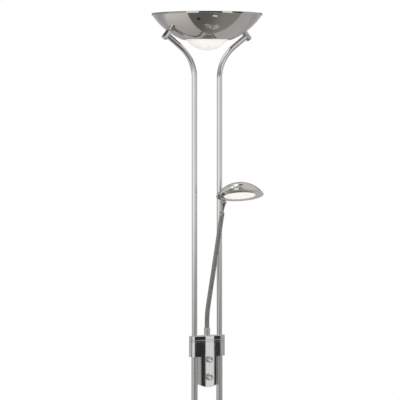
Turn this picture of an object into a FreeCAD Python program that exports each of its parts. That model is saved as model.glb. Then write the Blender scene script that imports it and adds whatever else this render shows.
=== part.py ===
"""Torchiere floor lamp with a reading light on a flexible arm.

Two round poles rise from a weighted round base, bend outwards at the top and carry a shallow
metal bowl with an opal glass dome in its open bottom. An oval control housing clamps both poles
and holds two rotary dimmers. A flexible metal tube stands on the housing and carries a domed
reading head on a hinged neck.

Millimetres. X runs along the line of the two poles, the knobs face -Y and Z is up. The origin is
the centre of the base on the floor.
"""
import FreeCAD, Part
import math
import os
from FreeCAD import Vector

X = Vector(1, 0, 0)
Y = Vector(0, 1, 0)
Z = Vector(0, 0, 1)
SIDES = (-1, 1)
FIT = 0.05                 # radial clearance between parts that slide together
EDGE_BREAK = 0.6           # chamfer on turned and cast edges

# ---------------------------------------------------------------- base
BASE_RADIUS = 134.5
PAD_RADIUS = 127.0
PAD_HEIGHT = 2.5
WEIGHT_RADIUS = 126.5
WEIGHT_TOP = 16.5
NUT_POCKET_TOP = 10.5      # ceiling of the pockets under the weight
COVER_WALL = 1.2
COVER_LIP = 2.0            # gap between the cover's lower edge and the floor
COVER_SHOULDER = 15.0      # height where the upright rim turns into the top
COVER_CORNER = 5.0         # radius of that turn
COVER_TOP = 26.0           # flat raised middle, where the poles stand
COVER_FLAT_RADIUS = 60.0
CORD_HOLE_Z = 9.0
CORD_HOLE_RADIUS = 5.0
CORD_BORE = 3.4
COLLAR_RADIUS = 13.0
COLLAR_HEIGHT = 7.0

# ---------------------------------------------------------------- poles
POLE_OFFSET = 35.0         # pole axis from the middle of the lamp
LOWER_RADIUS = 8.0
LOWER_BORE = 6.8
UPPER_RADIUS = 7.0
UPPER_BORE = 6.0
PLUG_BORE = 3.5            # way for the wires through every plug in the poles
PLUG_DEPTH = 20.0
THREAD_RADIUS = 5.0
SECTION_JOINT_Z = 478.5    # where the two lower pole lengths meet
LOWER_TOP_Z = 945.0        # inside the housing
STEP_COLLAR = 4.0
BEND_RADIUS = 100.0
BEND_ANGLE = math.radians(52)

# ---------------------------------------------------------------- bowl and its glass
TOTAL_HEIGHT = 1800.0
BOWL_SPHERE = 166.0
BOWL_CENTRE_Z = 1887.7
BOWL_WALL = 1.2
BOWL_STEPS = 7             # straight steps that stand for the curve of its wall
RIM_RADIUS = 140.0
RIM_BAND_FOOT = 137.6      # radius where the upright band at the rim starts
FLANGE_Z = 1733.8          # underside of the turned-in bottom flange
OPENING_RADIUS = 53.5
FLANGE_RADIUS = 62.0
STUD_CIRCLE = 60.0
STUD_RADIUS = 1.5
STUD_ANGLES = (45, 135, 225, 315)
GLASS_SPHERE = 65.5
GLASS_CHORD = 52.5
GLASS_WALL = 3.5
GLASS_STEPS = 5
GLASS_FLANGE = 57.5
GLASS_FLANGE_HEIGHT = 3.0
BARREL_RADIUS = 8.0
BARREL_LENGTH = 27.5
BARREL_CAP = 3.0
BARREL_SEAT_RADIUS = 102.6  # distance of the barrel's seat on the bowl from the lamp axis
BARREL_TO_POLE = 15.0      # along the barrel, from the bowl to the pole's axis
NIPPLE_RADIUS = 4.0

# ---------------------------------------------------------------- lamp inside the bowl
BRACKET_WALL = 1.2
BRACKET_RISE = 10.0
SHELF_START = 60.0
SHELF_END = 80.0
HOLDER_HEIGHT = 18.0
LAMP_HEIGHT = 9.0          # lamp axis above the shelf
LAMP_HALF = 61.5
SAFETY_GLASS = (148.0, 52.0, 3.0)

# ---------------------------------------------------------------- control housing
OVAL_A = 49.5              # half length of the oval section
OVAL_B = 13.0              # half depth
OVAL_END = 7.0             # radius of its two ends
# radius of its two long sides, tangent to the ends
OVAL_SIDE = (OVAL_A ** 2 + OVAL_B ** 2 - 2 * OVAL_A * OVAL_END) / (2 * (OVAL_B - OVAL_END))
SHELL_WALL = 2.0
HOUSING_BOTTOM = 931.0
SHELL_TOP = 968.4
RING_TOP = 973.5
HOUSING_TOP = 984.0
TONGUE_HALF = 23.0
TONGUE_BOTTOM = 853.0
TONGUE_SAG = 7.0           # how far the tongue's lower edge bows down
TONGUE_EDGE = 2.0          # radius of its upright edges
TONGUE_CORNER = 4.0        # radius of its lower corners
SPLIT_Y = 3.0              # plane where the front and back shells meet
SCREW_PLACES = ((-17.5, 873.0), (17.5, 873.0), (-17.5, 955.0), (17.5, 955.0))
SCREW_SEAT_Y = 9.6
KNOB_Z = {"upper": 924.0, "lower": 879.0}
KNOB_RADIUS = 8.25
KNOB_BACK_Y = -13.7
KNOB_DEPTH = 8.8
SHAFT_RADIUS = 3.0
BUSH_RADIUS = 3.5
BOARD_Y = 1.2

# ---------------------------------------------------------------- flexible arm
FERRULE_RADIUS = 7.75
FERRULE_TOP = 1004.0
FERRULE_SOCKET = 8.0
ARM_RADIUS = 6.1
ARM_BORE = 1.9
ARM_LEAN = math.radians(8.9)
ARM_CURVE_RADIUS = 275.0   # of the short curve between the upright root and the lean
ARM_END_Z = 1289.0
ARM_HEADING = Vector(0.743, -0.669, 0)
ARM_LINKS = 6
ROOT_LENGTH = 14.0         # upright fixed stretch above the ferrule
KNUCKLE_RADIUS = 4.0       # round tongue that turns inside the next link
KNUCKLE_HALF = 3.2         # half its width along the hinge axis
KNUCKLE_NECK = 2.6
SOCKET_GAP = 0.06
SOCKET_SKIRT = 1.2         # how far a socket reaches past its hinge axis
SHOULDER_GAP = 4.3         # distance of the tube below a hinge axis from that axis
SPIGOT_RADIUS = 4.35
SPIGOT_LENGTH = 7.5

# ---------------------------------------------------------------- reading head
HEAD_HINGE_AXIS = Vector(0.906, -0.4226, 0)
HEAD_KNUCKLE_RADIUS = 4.4
HEAD_KNUCKLE_HALF = 4.2
NECK_LENGTH = 35.5         # from the end of the arm to the head's hinge
HEAD_UP = Vector(0.059, 0.256, 0.957)
HEAD_CENTRE_FROM_SEAT = Vector(25.0, -41.2, 10.1)
HEAD_RADIUS = 60.0
HEAD_HEIGHT = 34.0
HEAD_WALL = 1.2
HEAD_BAND = 2.0            # upright rim, from the ring's lower face up to the dome
HEAD_LIP = 0.4             # how far the rim reaches below the ring
HEAD_STEPS = 7
STEM_LENGTH = 7.5
STEM_RADIUS = 2.5
RING_WALL = 1.2
RING_RADIUS = 58.75        # just inside the dome's upright rim
DIFFUSER_OPENING = 40.0
DIFFUSER_RADIUS = 42.5
DIFFUSER_WALL = 3.0
REFLECTOR_RADIUS = 41.0
REFLECTOR_WALL = 0.7
CAPSULE_RADIUS = 6.5


# ---------------------------------------------------------------- shape helpers
def cylinder(radius, low, high, x=0.0, y=0.0):
    """An upright cylinder between two heights."""
    return Part.makeCylinder(radius, high - low, Vector(x, y, low))


def tube(outer, inner, low, high, x=0.0, y=0.0):
    """An upright cylinder with a bore."""
    return cylinder(outer, low, high, x, y).cut(cylinder(inner, low - 1, high + 1, x, y))


def box(x0, x1, y0, y1, z0, z1):
    """A box between two corners."""
    return Part.makeBox(x1 - x0, y1 - y0, z1 - z0, Vector(x0, y0, z0))


def side_box(side, x0, x1, half_y, z0, z1):
    """A box on the left or right of the lamp, level with its middle."""
    low, high = sorted((side * x0, side * x1))
    return box(low, high, -half_y, half_y, z0, z1)


def rod(radius, start, axis, length):
    """A cylinder along any axis."""
    return Part.makeCylinder(radius, length, start, axis)


def placed(shape, base, axis):
    """A shape made around +Z at the origin, moved so that +Z follows an axis from a base point."""
    moved = shape.copy()
    moved.Placement = FreeCAD.Placement(base, FreeCAD.Rotation(Z, axis)).multiply(shape.Placement)
    return moved


def turned(*corners):
    """A solid of revolution about Z from the (r, z) corners of its closed outline."""
    points = [Vector(r, 0, z) for r, z in corners]
    return Part.Face(Part.makePolygon(points + points[:1])).revolve(Vector(0, 0, 0), Z, 360)


def hexagon(across_flats, thickness, bore):
    """A hexagon nut around +Z, standing on the origin."""
    corner = across_flats / math.sqrt(3)
    points = [Vector(corner * math.cos(k * math.pi / 3), corner * math.sin(k * math.pi / 3), 0)
              for k in range(7)]
    nut = Part.Face(Part.makePolygon(points)).extrude(Z * thickness)
    return nut.cut(cylinder(bore, -1, thickness + 1))


def oval(inset, low, high):
    """An upright prism of the housing's four-arc oval section, drawn in by an inset."""
    end = OVAL_END - inset
    end_centre = OVAL_A - OVAL_END
    side_centre = OVAL_SIDE - OVAL_B
    lean = math.atan2(side_centre, end_centre)
    joint_x = end_centre + end * math.cos(lean)
    joint_y = end * math.sin(lean)
    tip_x = OVAL_A - inset
    crest_y = OVAL_B - inset
    right = (Vector(joint_x, -joint_y, low), Vector(joint_x, joint_y, low))
    left = (Vector(-joint_x, joint_y, low), Vector(-joint_x, -joint_y, low))
    edges = [Part.Arc(right[0], Vector(tip_x, 0, low), right[1]).toShape(),
             Part.Arc(right[1], Vector(0, crest_y, low), left[0]).toShape(),
             Part.Arc(left[0], Vector(-tip_x, 0, low), left[1]).toShape(),
             Part.Arc(left[1], Vector(0, -crest_y, low), right[0]).toShape()]
    return Part.Face(Part.Wire(edges)).extrude(Z * (high - low))


def sphere_height(radius, centre_z, r):
    """Height of a sphere's lower half at distance r from the Z axis."""
    return centre_z - math.sqrt(radius ** 2 - r ** 2)


def sphere_points(radius, centre_z, start_r, end_r, steps):
    """Points along a sphere's lower half between two distances from the axis."""
    start = math.asin(start_r / radius)
    end = math.asin(end_r / radius)
    turns = [start + (end - start) * k / steps for k in range(steps + 1)]
    return [(radius * math.sin(turn), centre_z - radius * math.cos(turn)) for turn in turns]


def dome_points(radius, height, low, steps):
    """Points along a quarter ellipse, from just above its widest place up to the axis."""
    turns = [math.pi / 2 * k / steps for k in range(1, steps)]
    arc = [(radius * math.cos(turn), low + height * math.sin(turn)) for turn in turns]
    return arc + [(0, low + height)]


def cap_points(radius, centre_z, rim, steps):
    """Points along a sphere's cap, from its rim's distance to the axis up to the axis."""
    start = math.asin(rim / radius)
    turns = [start * (1 - k / steps) for k in range(steps)]
    arc = [(radius * math.sin(turn), centre_z + radius * math.cos(turn)) for turn in turns]
    return arc + [(0, centre_z + radius)]


def save(name, *solids):
    """Writes one named piece, or a group of equal pieces, as a STEP file."""
    shape = solids[0] if len(solids) == 1 else Part.makeCompound(list(solids))
    shape.exportStep(f"parts/{name}.step")


# ---------------------------------------------------------------- base
def base_weight():
    """Cast disc with pockets for the nuts and a channel for the wires under it."""
    weight = cylinder(WEIGHT_RADIUS, PAD_HEIGHT, WEIGHT_TOP)
    for side in SIDES:
        x = side * POLE_OFFSET
        weight = weight.cut(cylinder(COLLAR_RADIUS, 0, NUT_POCKET_TOP, x))
        weight = weight.cut(cylinder(THREAD_RADIUS + 0.3, 0, 40, x))
    weight = weight.cut(box(-POLE_OFFSET, POLE_OFFSET, -5, 5, 0, NUT_POCKET_TOP))
    return weight.cut(box(-5, 5, 0, WEIGHT_RADIUS + 5, 0, CORD_HOLE_Z + 4.5))


def base_cover():
    """Spun cover: upright rim, rounded shoulder, low cone and a flat middle."""
    def skin(inset):
        """The cover's outline from the middle to the lip, drawn in by the wall."""
        turn = COVER_CORNER - inset
        corner_r = BASE_RADIUS - COVER_CORNER
        shoulder = [(corner_r + turn * math.sin(a), COVER_SHOULDER + turn * math.cos(a))
                    for a in (0, math.pi / 4, math.pi / 2)]
        return [(0, COVER_TOP - inset), (COVER_FLAT_RADIUS, COVER_TOP - inset), *shoulder,
                (BASE_RADIUS - inset, COVER_LIP)]

    cover = turned(*skin(COVER_WALL), *reversed(skin(0)))
    for side in SIDES:
        cover = cover.cut(cylinder(THREAD_RADIUS + 0.3, 0, 40, side * POLE_OFFSET))
    return cover.cut(rod(CORD_HOLE_RADIUS, Vector(0, BASE_RADIUS - 10, CORD_HOLE_Z), Y, 20))


def cord_grommet():
    """Rubber grommet around +Z; its outer flange sits on the cover's rim."""
    neck = CORD_HOLE_RADIUS - 0.1
    return turned((CORD_BORE, -4.5), (neck + 1.3, -4.5), (neck + 1.3, -1.5), (neck, -1.5),
                  (neck, 0.05), (neck + 2.5, 0.05), (neck + 2.5, 1.4), (neck + 1.3, 2.6),
                  (CORD_BORE, 2.6))


def base():
    """Floor pad, cast weight, spun cover, cord grommet and what holds the poles down."""
    save("base_pad", cylinder(PAD_RADIUS, 0, PAD_HEIGHT))
    save("base_weight", base_weight())
    save("base_cover", base_cover())
    save("cord_grommet", placed(cord_grommet(), Vector(0, BASE_RADIUS, CORD_HOLE_Z), Y))

    collar = turned((LOWER_RADIUS + FIT, 0), (COLLAR_RADIUS, 0), (COLLAR_RADIUS, 5),
                    (COLLAR_RADIUS - 2, COLLAR_HEIGHT), (LOWER_RADIUS + FIT, COLLAR_HEIGHT))
    spigot = turned((PLUG_BORE, -22.0), (THREAD_RADIUS, -22.0), (THREAD_RADIUS, 0),
                    (LOWER_BORE - FIT, 0), (LOWER_BORE - FIT, PLUG_DEPTH), (PLUG_BORE, PLUG_DEPTH))
    nut = hexagon(17, 5, THREAD_RADIUS + 0.02)
    feet = [Vector(side * POLE_OFFSET, 0, 0) for side in SIDES]
    save("foot_collars", *[placed(collar, foot + Z * COVER_TOP, Z) for foot in feet])
    save("foot_spigots", *[placed(spigot, foot + Z * COVER_TOP, Z) for foot in feet])
    save("foot_nuts", *[placed(nut, foot + Z * (NUT_POCKET_TOP - 5), Z) for foot in feet])


# ---------------------------------------------------------------- poles
def bowl_seat(side):
    """Centre of a barrel's seat on the bowl, and the bowl's outward normal there."""
    seat = Vector(side * BARREL_SEAT_RADIUS, 0,
                  sphere_height(BOWL_SPHERE, BOWL_CENTRE_Z, BARREL_SEAT_RADIUS))
    return seat, (seat - Vector(0, 0, BOWL_CENTRE_Z)).normalize()


def pole_route(side):
    """Start of the bend, its middle and end, and the point where the pole meets the barrel."""
    seat, normal = bowl_seat(side)
    meeting = seat + normal * BARREL_TO_POLE
    heading = Vector(side * math.sin(BEND_ANGLE), 0, math.cos(BEND_ANGLE))
    bend_out = POLE_OFFSET + BEND_RADIUS * (1 - math.cos(BEND_ANGLE))
    straight = (abs(meeting.x) - bend_out) / math.sin(BEND_ANGLE)
    bend_end = meeting - heading * straight
    start_z = bend_end.z - BEND_RADIUS * math.sin(BEND_ANGLE)
    half = BEND_ANGLE / 2
    middle = Vector(side * (POLE_OFFSET + BEND_RADIUS * (1 - math.cos(half))), 0,
                    start_z + BEND_RADIUS * math.sin(half))
    return Vector(side * POLE_OFFSET, 0, start_z), middle, bend_end, meeting


def upper_pole_solid(side, radius):
    """One upper pole as a solid rod: upright, bent outwards, then straight to the barrel."""
    foot = Vector(side * POLE_OFFSET, 0, LOWER_TOP_Z + STEP_COLLAR)
    bend_start, middle, bend_end, meeting = pole_route(side)
    path = Part.Wire([Part.LineSegment(foot, bend_start).toShape(),
                      Part.Arc(bend_start, middle, bend_end).toShape(),
                      Part.LineSegment(bend_end, meeting).toShape()])
    circle = Part.Wire([Part.makeCircle(radius, foot, Z)])
    return path.makePipeShell([circle], True, False)


def poles():
    """Lower lengths, couplers, step-down reducers and the bent upper poles."""
    couplers = []
    reducers = []
    reducer = turned((PLUG_BORE, -PLUG_DEPTH), (LOWER_BORE - FIT, -PLUG_DEPTH),
                     (LOWER_BORE - FIT, 0), (LOWER_RADIUS, 0), (LOWER_RADIUS, STEP_COLLAR),
                     (UPPER_BORE - FIT, STEP_COLLAR), (UPPER_BORE - FIT, STEP_COLLAR + PLUG_DEPTH),
                     (PLUG_BORE, STEP_COLLAR + PLUG_DEPTH))
    for side, name in zip(SIDES, ("left", "right")):
        x = side * POLE_OFFSET
        save(f"lower_pole_{name}", tube(LOWER_RADIUS, LOWER_BORE, COVER_TOP, SECTION_JOINT_Z, x))
        save(f"middle_pole_{name}",
             tube(LOWER_RADIUS, LOWER_BORE, SECTION_JOINT_Z, LOWER_TOP_Z, x))
        couplers.append(tube(LOWER_BORE - FIT, PLUG_BORE, SECTION_JOINT_Z - PLUG_DEPTH,
                             SECTION_JOINT_Z + PLUG_DEPTH, x))
        reducers.append(placed(reducer, Vector(x, 0, LOWER_TOP_Z), Z))
        seat, normal = bowl_seat(side)
        pole = upper_pole_solid(side, UPPER_RADIUS).cut(upper_pole_solid(side, UPPER_BORE))
        cope = rod(BARREL_RADIUS + 0.02, seat - normal * 20, normal, 80)
        save(f"upper_pole_{name}", pole.cut(cope))
    save("pole_couplers", *couplers)
    save("pole_reducers", *reducers)


# ---------------------------------------------------------------- uplighter
def stud_places():
    """The four studs on the bowl's bottom flange that hold the lamp bracket."""
    return [(STUD_CIRCLE * math.cos(math.radians(a)), STUD_CIRCLE * math.sin(math.radians(a)))
            for a in STUD_ANGLES]


def bowl():
    """Spun bowl: rim band, spherical wall and a turned-in bottom flange with four studs."""
    low_r = FLANGE_RADIUS + 2
    outside = sphere_points(BOWL_SPHERE, BOWL_CENTRE_Z, low_r, RIM_BAND_FOOT, BOWL_STEPS)
    inside = sphere_points(BOWL_SPHERE - BOWL_WALL, BOWL_CENTRE_Z, low_r - 0.6,
                           RIM_BAND_FOOT - 1.1, BOWL_STEPS)
    flange_top = FLANGE_Z + BOWL_WALL
    shell = turned((OPENING_RADIUS, FLANGE_Z), (FLANGE_RADIUS, FLANGE_Z), *outside,
                   (RIM_RADIUS, outside[-1][1] + 0.6), (RIM_RADIUS, TOTAL_HEIGHT - 0.4),
                   (RIM_RADIUS - 0.4, TOTAL_HEIGHT),
                   (RIM_RADIUS - 1.5, TOTAL_HEIGHT), *reversed(inside),
                   (FLANGE_RADIUS - 0.6, flange_top), (OPENING_RADIUS, flange_top))
    for x, y in stud_places():
        shell = shell.fuse(cylinder(STUD_RADIUS, flange_top - 0.3, FLANGE_Z + 10, x, y))
    for side in SIDES:
        seat, normal = bowl_seat(side)
        shell = shell.cut(rod(NIPPLE_RADIUS + 0.1, seat - normal * 10, normal, 20))
    return shell


def glass_dome():
    """Opal glass cap that hangs through the bowl's opening from its own flange."""
    rise = math.sqrt(GLASS_SPHERE ** 2 - GLASS_CHORD ** 2)
    centre_z = FLANGE_Z + rise
    inner = GLASS_SPHERE - GLASS_WALL
    inner_chord = math.sqrt(inner ** 2 - rise ** 2)
    flange_low = FLANGE_Z + BOWL_WALL + 0.1
    flange_top = flange_low + GLASS_FLANGE_HEIGHT
    return turned(
        *sphere_points(GLASS_SPHERE, centre_z, 0, GLASS_CHORD, GLASS_STEPS),
        (GLASS_CHORD, flange_low), (GLASS_FLANGE, flange_low), (GLASS_FLANGE, flange_top),
        (inner_chord, flange_top),
        *reversed(sphere_points(inner, centre_z, 0, inner_chord, GLASS_STEPS)))


def barrels():
    """The T-shaped pole ends: barrel, end cap, hollow nipple, washer and nut in the bowl."""
    centre = Vector(0, 0, BOWL_CENTRE_Z)
    cap = turned((0, 0), (BARREL_RADIUS - EDGE_BREAK, 0), (BARREL_RADIUS, EDGE_BREAK),
                 (BARREL_RADIUS, 1.8), (BARREL_RADIUS - 1.2, BARREL_CAP), (0, BARREL_CAP))
    washer = tube(9.0, NIPPLE_RADIUS + FIT, -3.4, -1.6)
    nut = hexagon(12, 4, NIPPLE_RADIUS + 0.02)
    caps = []
    nipples = []
    washers = []
    nuts = []
    for side, name in zip(SIDES, ("left", "right")):
        seat, normal = bowl_seat(side)
        body_length = BARREL_LENGTH - BARREL_CAP
        barrel = rod(BARREL_RADIUS, seat - normal * 2, normal, body_length + 2)
        barrel = barrel.cut(Part.makeSphere(BOWL_SPHERE, centre))
        barrel = barrel.cut(rod(NIPPLE_RADIUS + FIT, seat - normal * 5, normal, 20))
        bend_end, meeting = pole_route(side)[2:]
        wire_way = rod(3.0, bend_end, (meeting - bend_end).normalize(), (meeting - bend_end).Length)
        save(f"barrel_{name}", barrel.cut(wire_way))
        caps.append(placed(cap, seat + normal * body_length, normal))
        nipple = rod(NIPPLE_RADIUS, seat - normal * 9, normal, 23)
        nipples.append(nipple.cut(rod(2.6, seat - normal * 10, normal, 25)))
        washers.append(placed(washer, seat, normal))
        nuts.append(placed(nut, seat - normal * 7.45, normal))
    save("barrel_caps", *caps)
    save("bowl_nipples", *nipples)
    save("bowl_washers", *washers)
    save("bowl_nuts", *nuts)


def lamp_bracket(low, shelf):
    """Ring on the bowl's studs with a raised shelf for a lampholder on each side."""
    ring = tube(64, 47, low, low + BRACKET_WALL)
    for side in SIDES:
        ring = ring.fuse(side_box(side, SHELF_START, SHELF_START + 1.5, 9, low,
                                  shelf + BRACKET_WALL))
        ring = ring.fuse(side_box(side, SHELF_START, SHELF_END, 9, shelf, shelf + BRACKET_WALL))
    for x, y in stud_places():
        ring = ring.cut(cylinder(STUD_RADIUS + 0.2, low - 1, low + 3, x, y))
    return ring.removeSplitter()


def uplighter():
    """Bowl, glass, lamp bracket, holders, linear lamp, safety glass and its clips."""
    save("bowl", bowl())
    save("glass_dome", glass_dome())
    barrels()
    low = FLANGE_Z + BOWL_WALL + GLASS_FLANGE_HEIGHT + 0.2
    shelf = low + BRACKET_RISE
    seat = shelf + BRACKET_WALL
    save("lamp_bracket", lamp_bracket(low, shelf))
    nut = hexagon(5.5, 2.4, STUD_RADIUS + 0.02)
    save("bracket_nuts", *[placed(nut, Vector(x, y, low + BRACKET_WALL), Z)
                           for x, y in stud_places()])

    lamp_z = seat + LAMP_HEIGHT
    holders = [side_box(side, 58, 79, 8, seat, seat + HOLDER_HEIGHT).cut(
        rod(4.6, Vector(side * 50, 0, lamp_z), X * side, 12)) for side in SIDES]
    save("lampholders", *holders)
    end = [(0, -LAMP_HALF), (3.4, -LAMP_HALF), (4.2, -59), (4.2, -52), (3.2, -50), (5.0, -45)]
    lamp = turned(*end, *[(r, -z) for r, z in reversed(end)])
    save("halogen_lamp", placed(lamp, Vector(0, 0, lamp_z), X))

    length, width, thickness = SAFETY_GLASS
    glass_low = seat + HOLDER_HEIGHT
    glass = box(-length / 2, length / 2, -width / 2, width / 2, glass_low, glass_low + thickness)
    upright = [e for e in glass.Edges if abs(e.tangentAt(e.FirstParameter).z) > 0.9]
    save("safety_glass", glass.makeFillet(6, upright))
    clip_top = glass_low + thickness + 1
    clips = [side_box(side, SHELF_END - 0.9, SHELF_END, 4, seat + 3, clip_top).fuse(
        side_box(side, 66, SHELF_END, 4, clip_top - 0.9, clip_top)) for side in SIDES]
    save("glass_clips", *clips)


# ---------------------------------------------------------------- control housing
def tongue(inset):
    """The tongue below the housing, as a solid: oval front and back, bowed lower edge."""
    half = TONGUE_HALF - inset
    top = HOUSING_BOTTOM + SHELL_WALL + 2
    below = TONGUE_BOTTOM - 5
    corner_z = TONGUE_BOTTOM + TONGUE_SAG + inset
    bar = oval(inset, below, top).common(box(-half, half, -20, 20, below, top))
    upright = [e for e in bar.Edges
               if abs(e.tangentAt(e.FirstParameter).z) > 0.9
               and abs(abs(e.valueAt(e.FirstParameter).x) - half) < 0.1]
    bar = bar.makeFillet(TONGUE_EDGE, upright)
    corners = [Vector(-half, -20, corner_z), Vector(half, -20, corner_z),
               Vector(half, -20, top), Vector(-half, -20, top)]
    edges = [Part.Arc(corners[0], Vector(0, -20, TONGUE_BOTTOM + inset), corners[1]).toShape()]
    edges += [Part.LineSegment(corners[k], corners[(k + 1) % 4]).toShape() for k in (1, 2, 3)]
    outline = Part.Face(Part.Wire(edges)).extrude(Y * 40)
    low_edges = [e for e in outline.Edges
                 if abs(e.tangentAt(e.FirstParameter).y) > 0.9
                 and e.valueAt(e.FirstParameter).z < corner_z + 1]
    return bar.common(outline.makeFillet(TONGUE_CORNER - inset, low_edges))


def housing_shells():
    """The hollow oval case with its tongue, cut into a front and a back shell."""
    outer = oval(0, HOUSING_BOTTOM, SHELL_TOP).fuse(tongue(0))
    inner = oval(SHELL_WALL, HOUSING_BOTTOM + SHELL_WALL, SHELL_TOP + 1).fuse(tongue(SHELL_WALL))
    case = outer.cut(inner)
    for side in SIDES:
        case = case.cut(cylinder(LOWER_RADIUS + FIT, HOUSING_BOTTOM - 5, SHELL_TOP + 1,
                                 side * POLE_OFFSET))
    ahead = box(-60, 60, -30, SPLIT_Y, 800, 1000)
    behind = box(-60, 60, SPLIT_Y, 30, 800, 1000)
    skin = oval(0.5, 840, SHELL_TOP)
    front = case.common(ahead)
    back = case.common(behind)
    for x, z in SCREW_PLACES:
        boss = rod(2.8, Vector(x, -14, z), Y, 14 + SPLIT_Y).common(skin.common(ahead))
        front = front.fuse(boss).cut(rod(1.55, Vector(x, -8, z), Y, 20))
        post = rod(3.4, Vector(x, SPLIT_Y, z), Y, 14).common(skin.common(behind))
        back = back.fuse(post).cut(rod(1.7, Vector(x, 0, z), Y, 20))
        back = back.cut(rod(2.9, Vector(x, SCREW_SEAT_Y, z), Y, 10))
    for z in KNOB_Z.values():
        front = front.cut(rod(BUSH_RADIUS + 0.1, Vector(0, -20, z), Y, 12))
    return front, back


def rim_edges(solid, height):
    """The edges of a solid's outer rim at one height, without those of its round openings."""
    level = [e for e in solid.Edges
             if abs(e.BoundBox.ZMin - height) < 0.01 and abs(e.BoundBox.ZMax - height) < 0.01]
    return [e for e in level if not e.isClosed()]


def housing():
    """Case, trim ring, cap, screws and the dimmers' board."""
    front, back = housing_shells()
    save("housing_front", front)
    save("housing_back", back)
    slot = box(-0.4, 0.4, -3, 3, 1.1, 3)
    screw = cylinder(1.5, -16, 0.1).fuse(cylinder(2.8, 0, 2.0)).cut(slot)
    save("housing_screws", *[placed(screw, Vector(x, SCREW_SEAT_Y + FIT, z), Y)
                             for x, z in SCREW_PLACES])

    ring = oval(0, SHELL_TOP, RING_TOP).cut(cylinder(9, SHELL_TOP - 1, RING_TOP + 1))
    cap = oval(0, RING_TOP, HOUSING_TOP)
    ring = ring.makeChamfer(EDGE_BREAK, rim_edges(ring, SHELL_TOP) + rim_edges(ring, RING_TOP))
    cap = cap.makeChamfer(EDGE_BREAK, rim_edges(cap, RING_TOP) + rim_edges(cap, HOUSING_TOP))
    for side in SIDES:
        hole = cylinder(UPPER_RADIUS + FIT, 900, 1000, side * POLE_OFFSET)
        ring = ring.cut(hole)
        cap = cap.cut(hole)
    save("housing_ring", ring)
    save("housing_cap", cap.cut(cylinder(THREAD_RADIUS + FIT, 900, 1000)))

    front_y = BOARD_Y + 1.6
    board = box(-12, 12, BOARD_Y, front_y, 862, 962)
    choke = rod(7.0, Vector(0, front_y, 901.5), Y, 6.2)
    board = board.fuse(choke.cut(rod(2.5, Vector(0, front_y + 2, 901.5), Y, 6)))
    board = board.fuse(box(-5, 5, front_y, front_y + 2.4, 922, 936))
    save("dimmer_board", board.fuse(box(-9, 9, front_y, front_y + 5.8, 944, 957)))


def dimmers():
    """The two rotary dimmers with their nuts, turning shafts and knobs."""
    pots = []
    nuts = []
    nut = hexagon(10, 1.9, BUSH_RADIUS + 0.02)
    grip = SHAFT_RADIUS + 0.02
    knob = turned((grip, 3.5), (6.7, 3.5), (6.7, 0), (KNOB_RADIUS, 0), (KNOB_RADIUS, 7.3),
                  (KNOB_RADIUS - 0.5, 8.3), (KNOB_RADIUS - 1.5, KNOB_DEPTH), (0, KNOB_DEPTH),
                  (0, 6.8), (grip, 6.8))
    for name, z in KNOB_Z.items():
        axis_point = Vector(0, 0, z)
        pot = box(-8, 8, -10.6, BOARD_Y, z - 8, z + 8)
        pot = pot.fuse(rod(BUSH_RADIUS, axis_point - Y * 16.6, Y, 7))
        pots.append(pot.cut(rod(SHAFT_RADIUS + FIT, axis_point - Y * 18, Y, 12)))
        nuts.append(placed(nut, axis_point - Y * 13.05, -Y))
        save(f"dimmer_shaft_{name}", rod(SHAFT_RADIUS, axis_point - Y * 20.4, Y, 14))
        save(f"knob_{name}", placed(knob, axis_point + Y * KNOB_BACK_Y, -Y))
    save("dimmer_pots", *pots)
    save("dimmer_nuts", *nuts)


# ---------------------------------------------------------------- flexible arm
def arm_point(distance):
    """Point and heading of the arm's centre line at a distance along it from the ferrule."""
    curved = ARM_CURVE_RADIUS * ARM_LEAN
    upright = min(distance, ROOT_LENGTH)
    angle = min((distance - upright) / ARM_CURVE_RADIUS, ARM_LEAN)
    straight = max(distance - upright - curved, 0.0)
    out = ARM_CURVE_RADIUS * (1 - math.cos(angle)) + straight * math.sin(ARM_LEAN)
    up = upright + ARM_CURVE_RADIUS * math.sin(angle) + straight * math.cos(ARM_LEAN)
    heading = ARM_HEADING * math.sin(angle) + Z * math.cos(angle)
    return ARM_HEADING * out + Z * (FERRULE_TOP + up), heading.normalize()


def arm_length():
    """Length of the flexible tube from the ferrule to the head's collar."""
    rise = ROOT_LENGTH + ARM_CURVE_RADIUS * math.sin(ARM_LEAN)
    straight = (ARM_END_Z - FERRULE_TOP - rise) / math.cos(ARM_LEAN)
    return ROOT_LENGTH + ARM_CURVE_RADIUS * ARM_LEAN + straight


def hinge_axis(number):
    """Odd hinges of the arm bend it forwards, even ones sideways."""
    return X if number % 2 else Y


def knuckle(pivot, axis, radius, half):
    """A short round bar across the arm, centred on a hinge."""
    return rod(radius, pivot - axis * half, axis, 2 * half)


def with_knuckle(link, number, pivot, heading):
    """Adds the neck and round tongue on which the next link turns."""
    reach = SHOULDER_GAP + 0.5
    link = link.fuse(rod(KNUCKLE_NECK, pivot - heading * reach, heading, reach))
    return link.fuse(knuckle(pivot, hinge_axis(number), KNUCKLE_RADIUS, KNUCKLE_HALF))


def socket_mouth(pivot, axis, heading):
    """The opening below a hinge that lets the neck swing."""
    half_width = KNUCKLE_HALF + SOCKET_GAP
    across = heading.cross(axis).normalize()
    half = math.sqrt((KNUCKLE_RADIUS + SOCKET_GAP) ** 2 - SOCKET_SKIRT ** 2)
    near = pivot - across * half
    far = pivot + across * half
    points = [near - axis * half_width, far - axis * half_width, far + axis * half_width,
              near + axis * half_width, near - axis * half_width]
    return Part.Face(Part.makePolygon(points)).extrude(-heading * 5)


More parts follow.
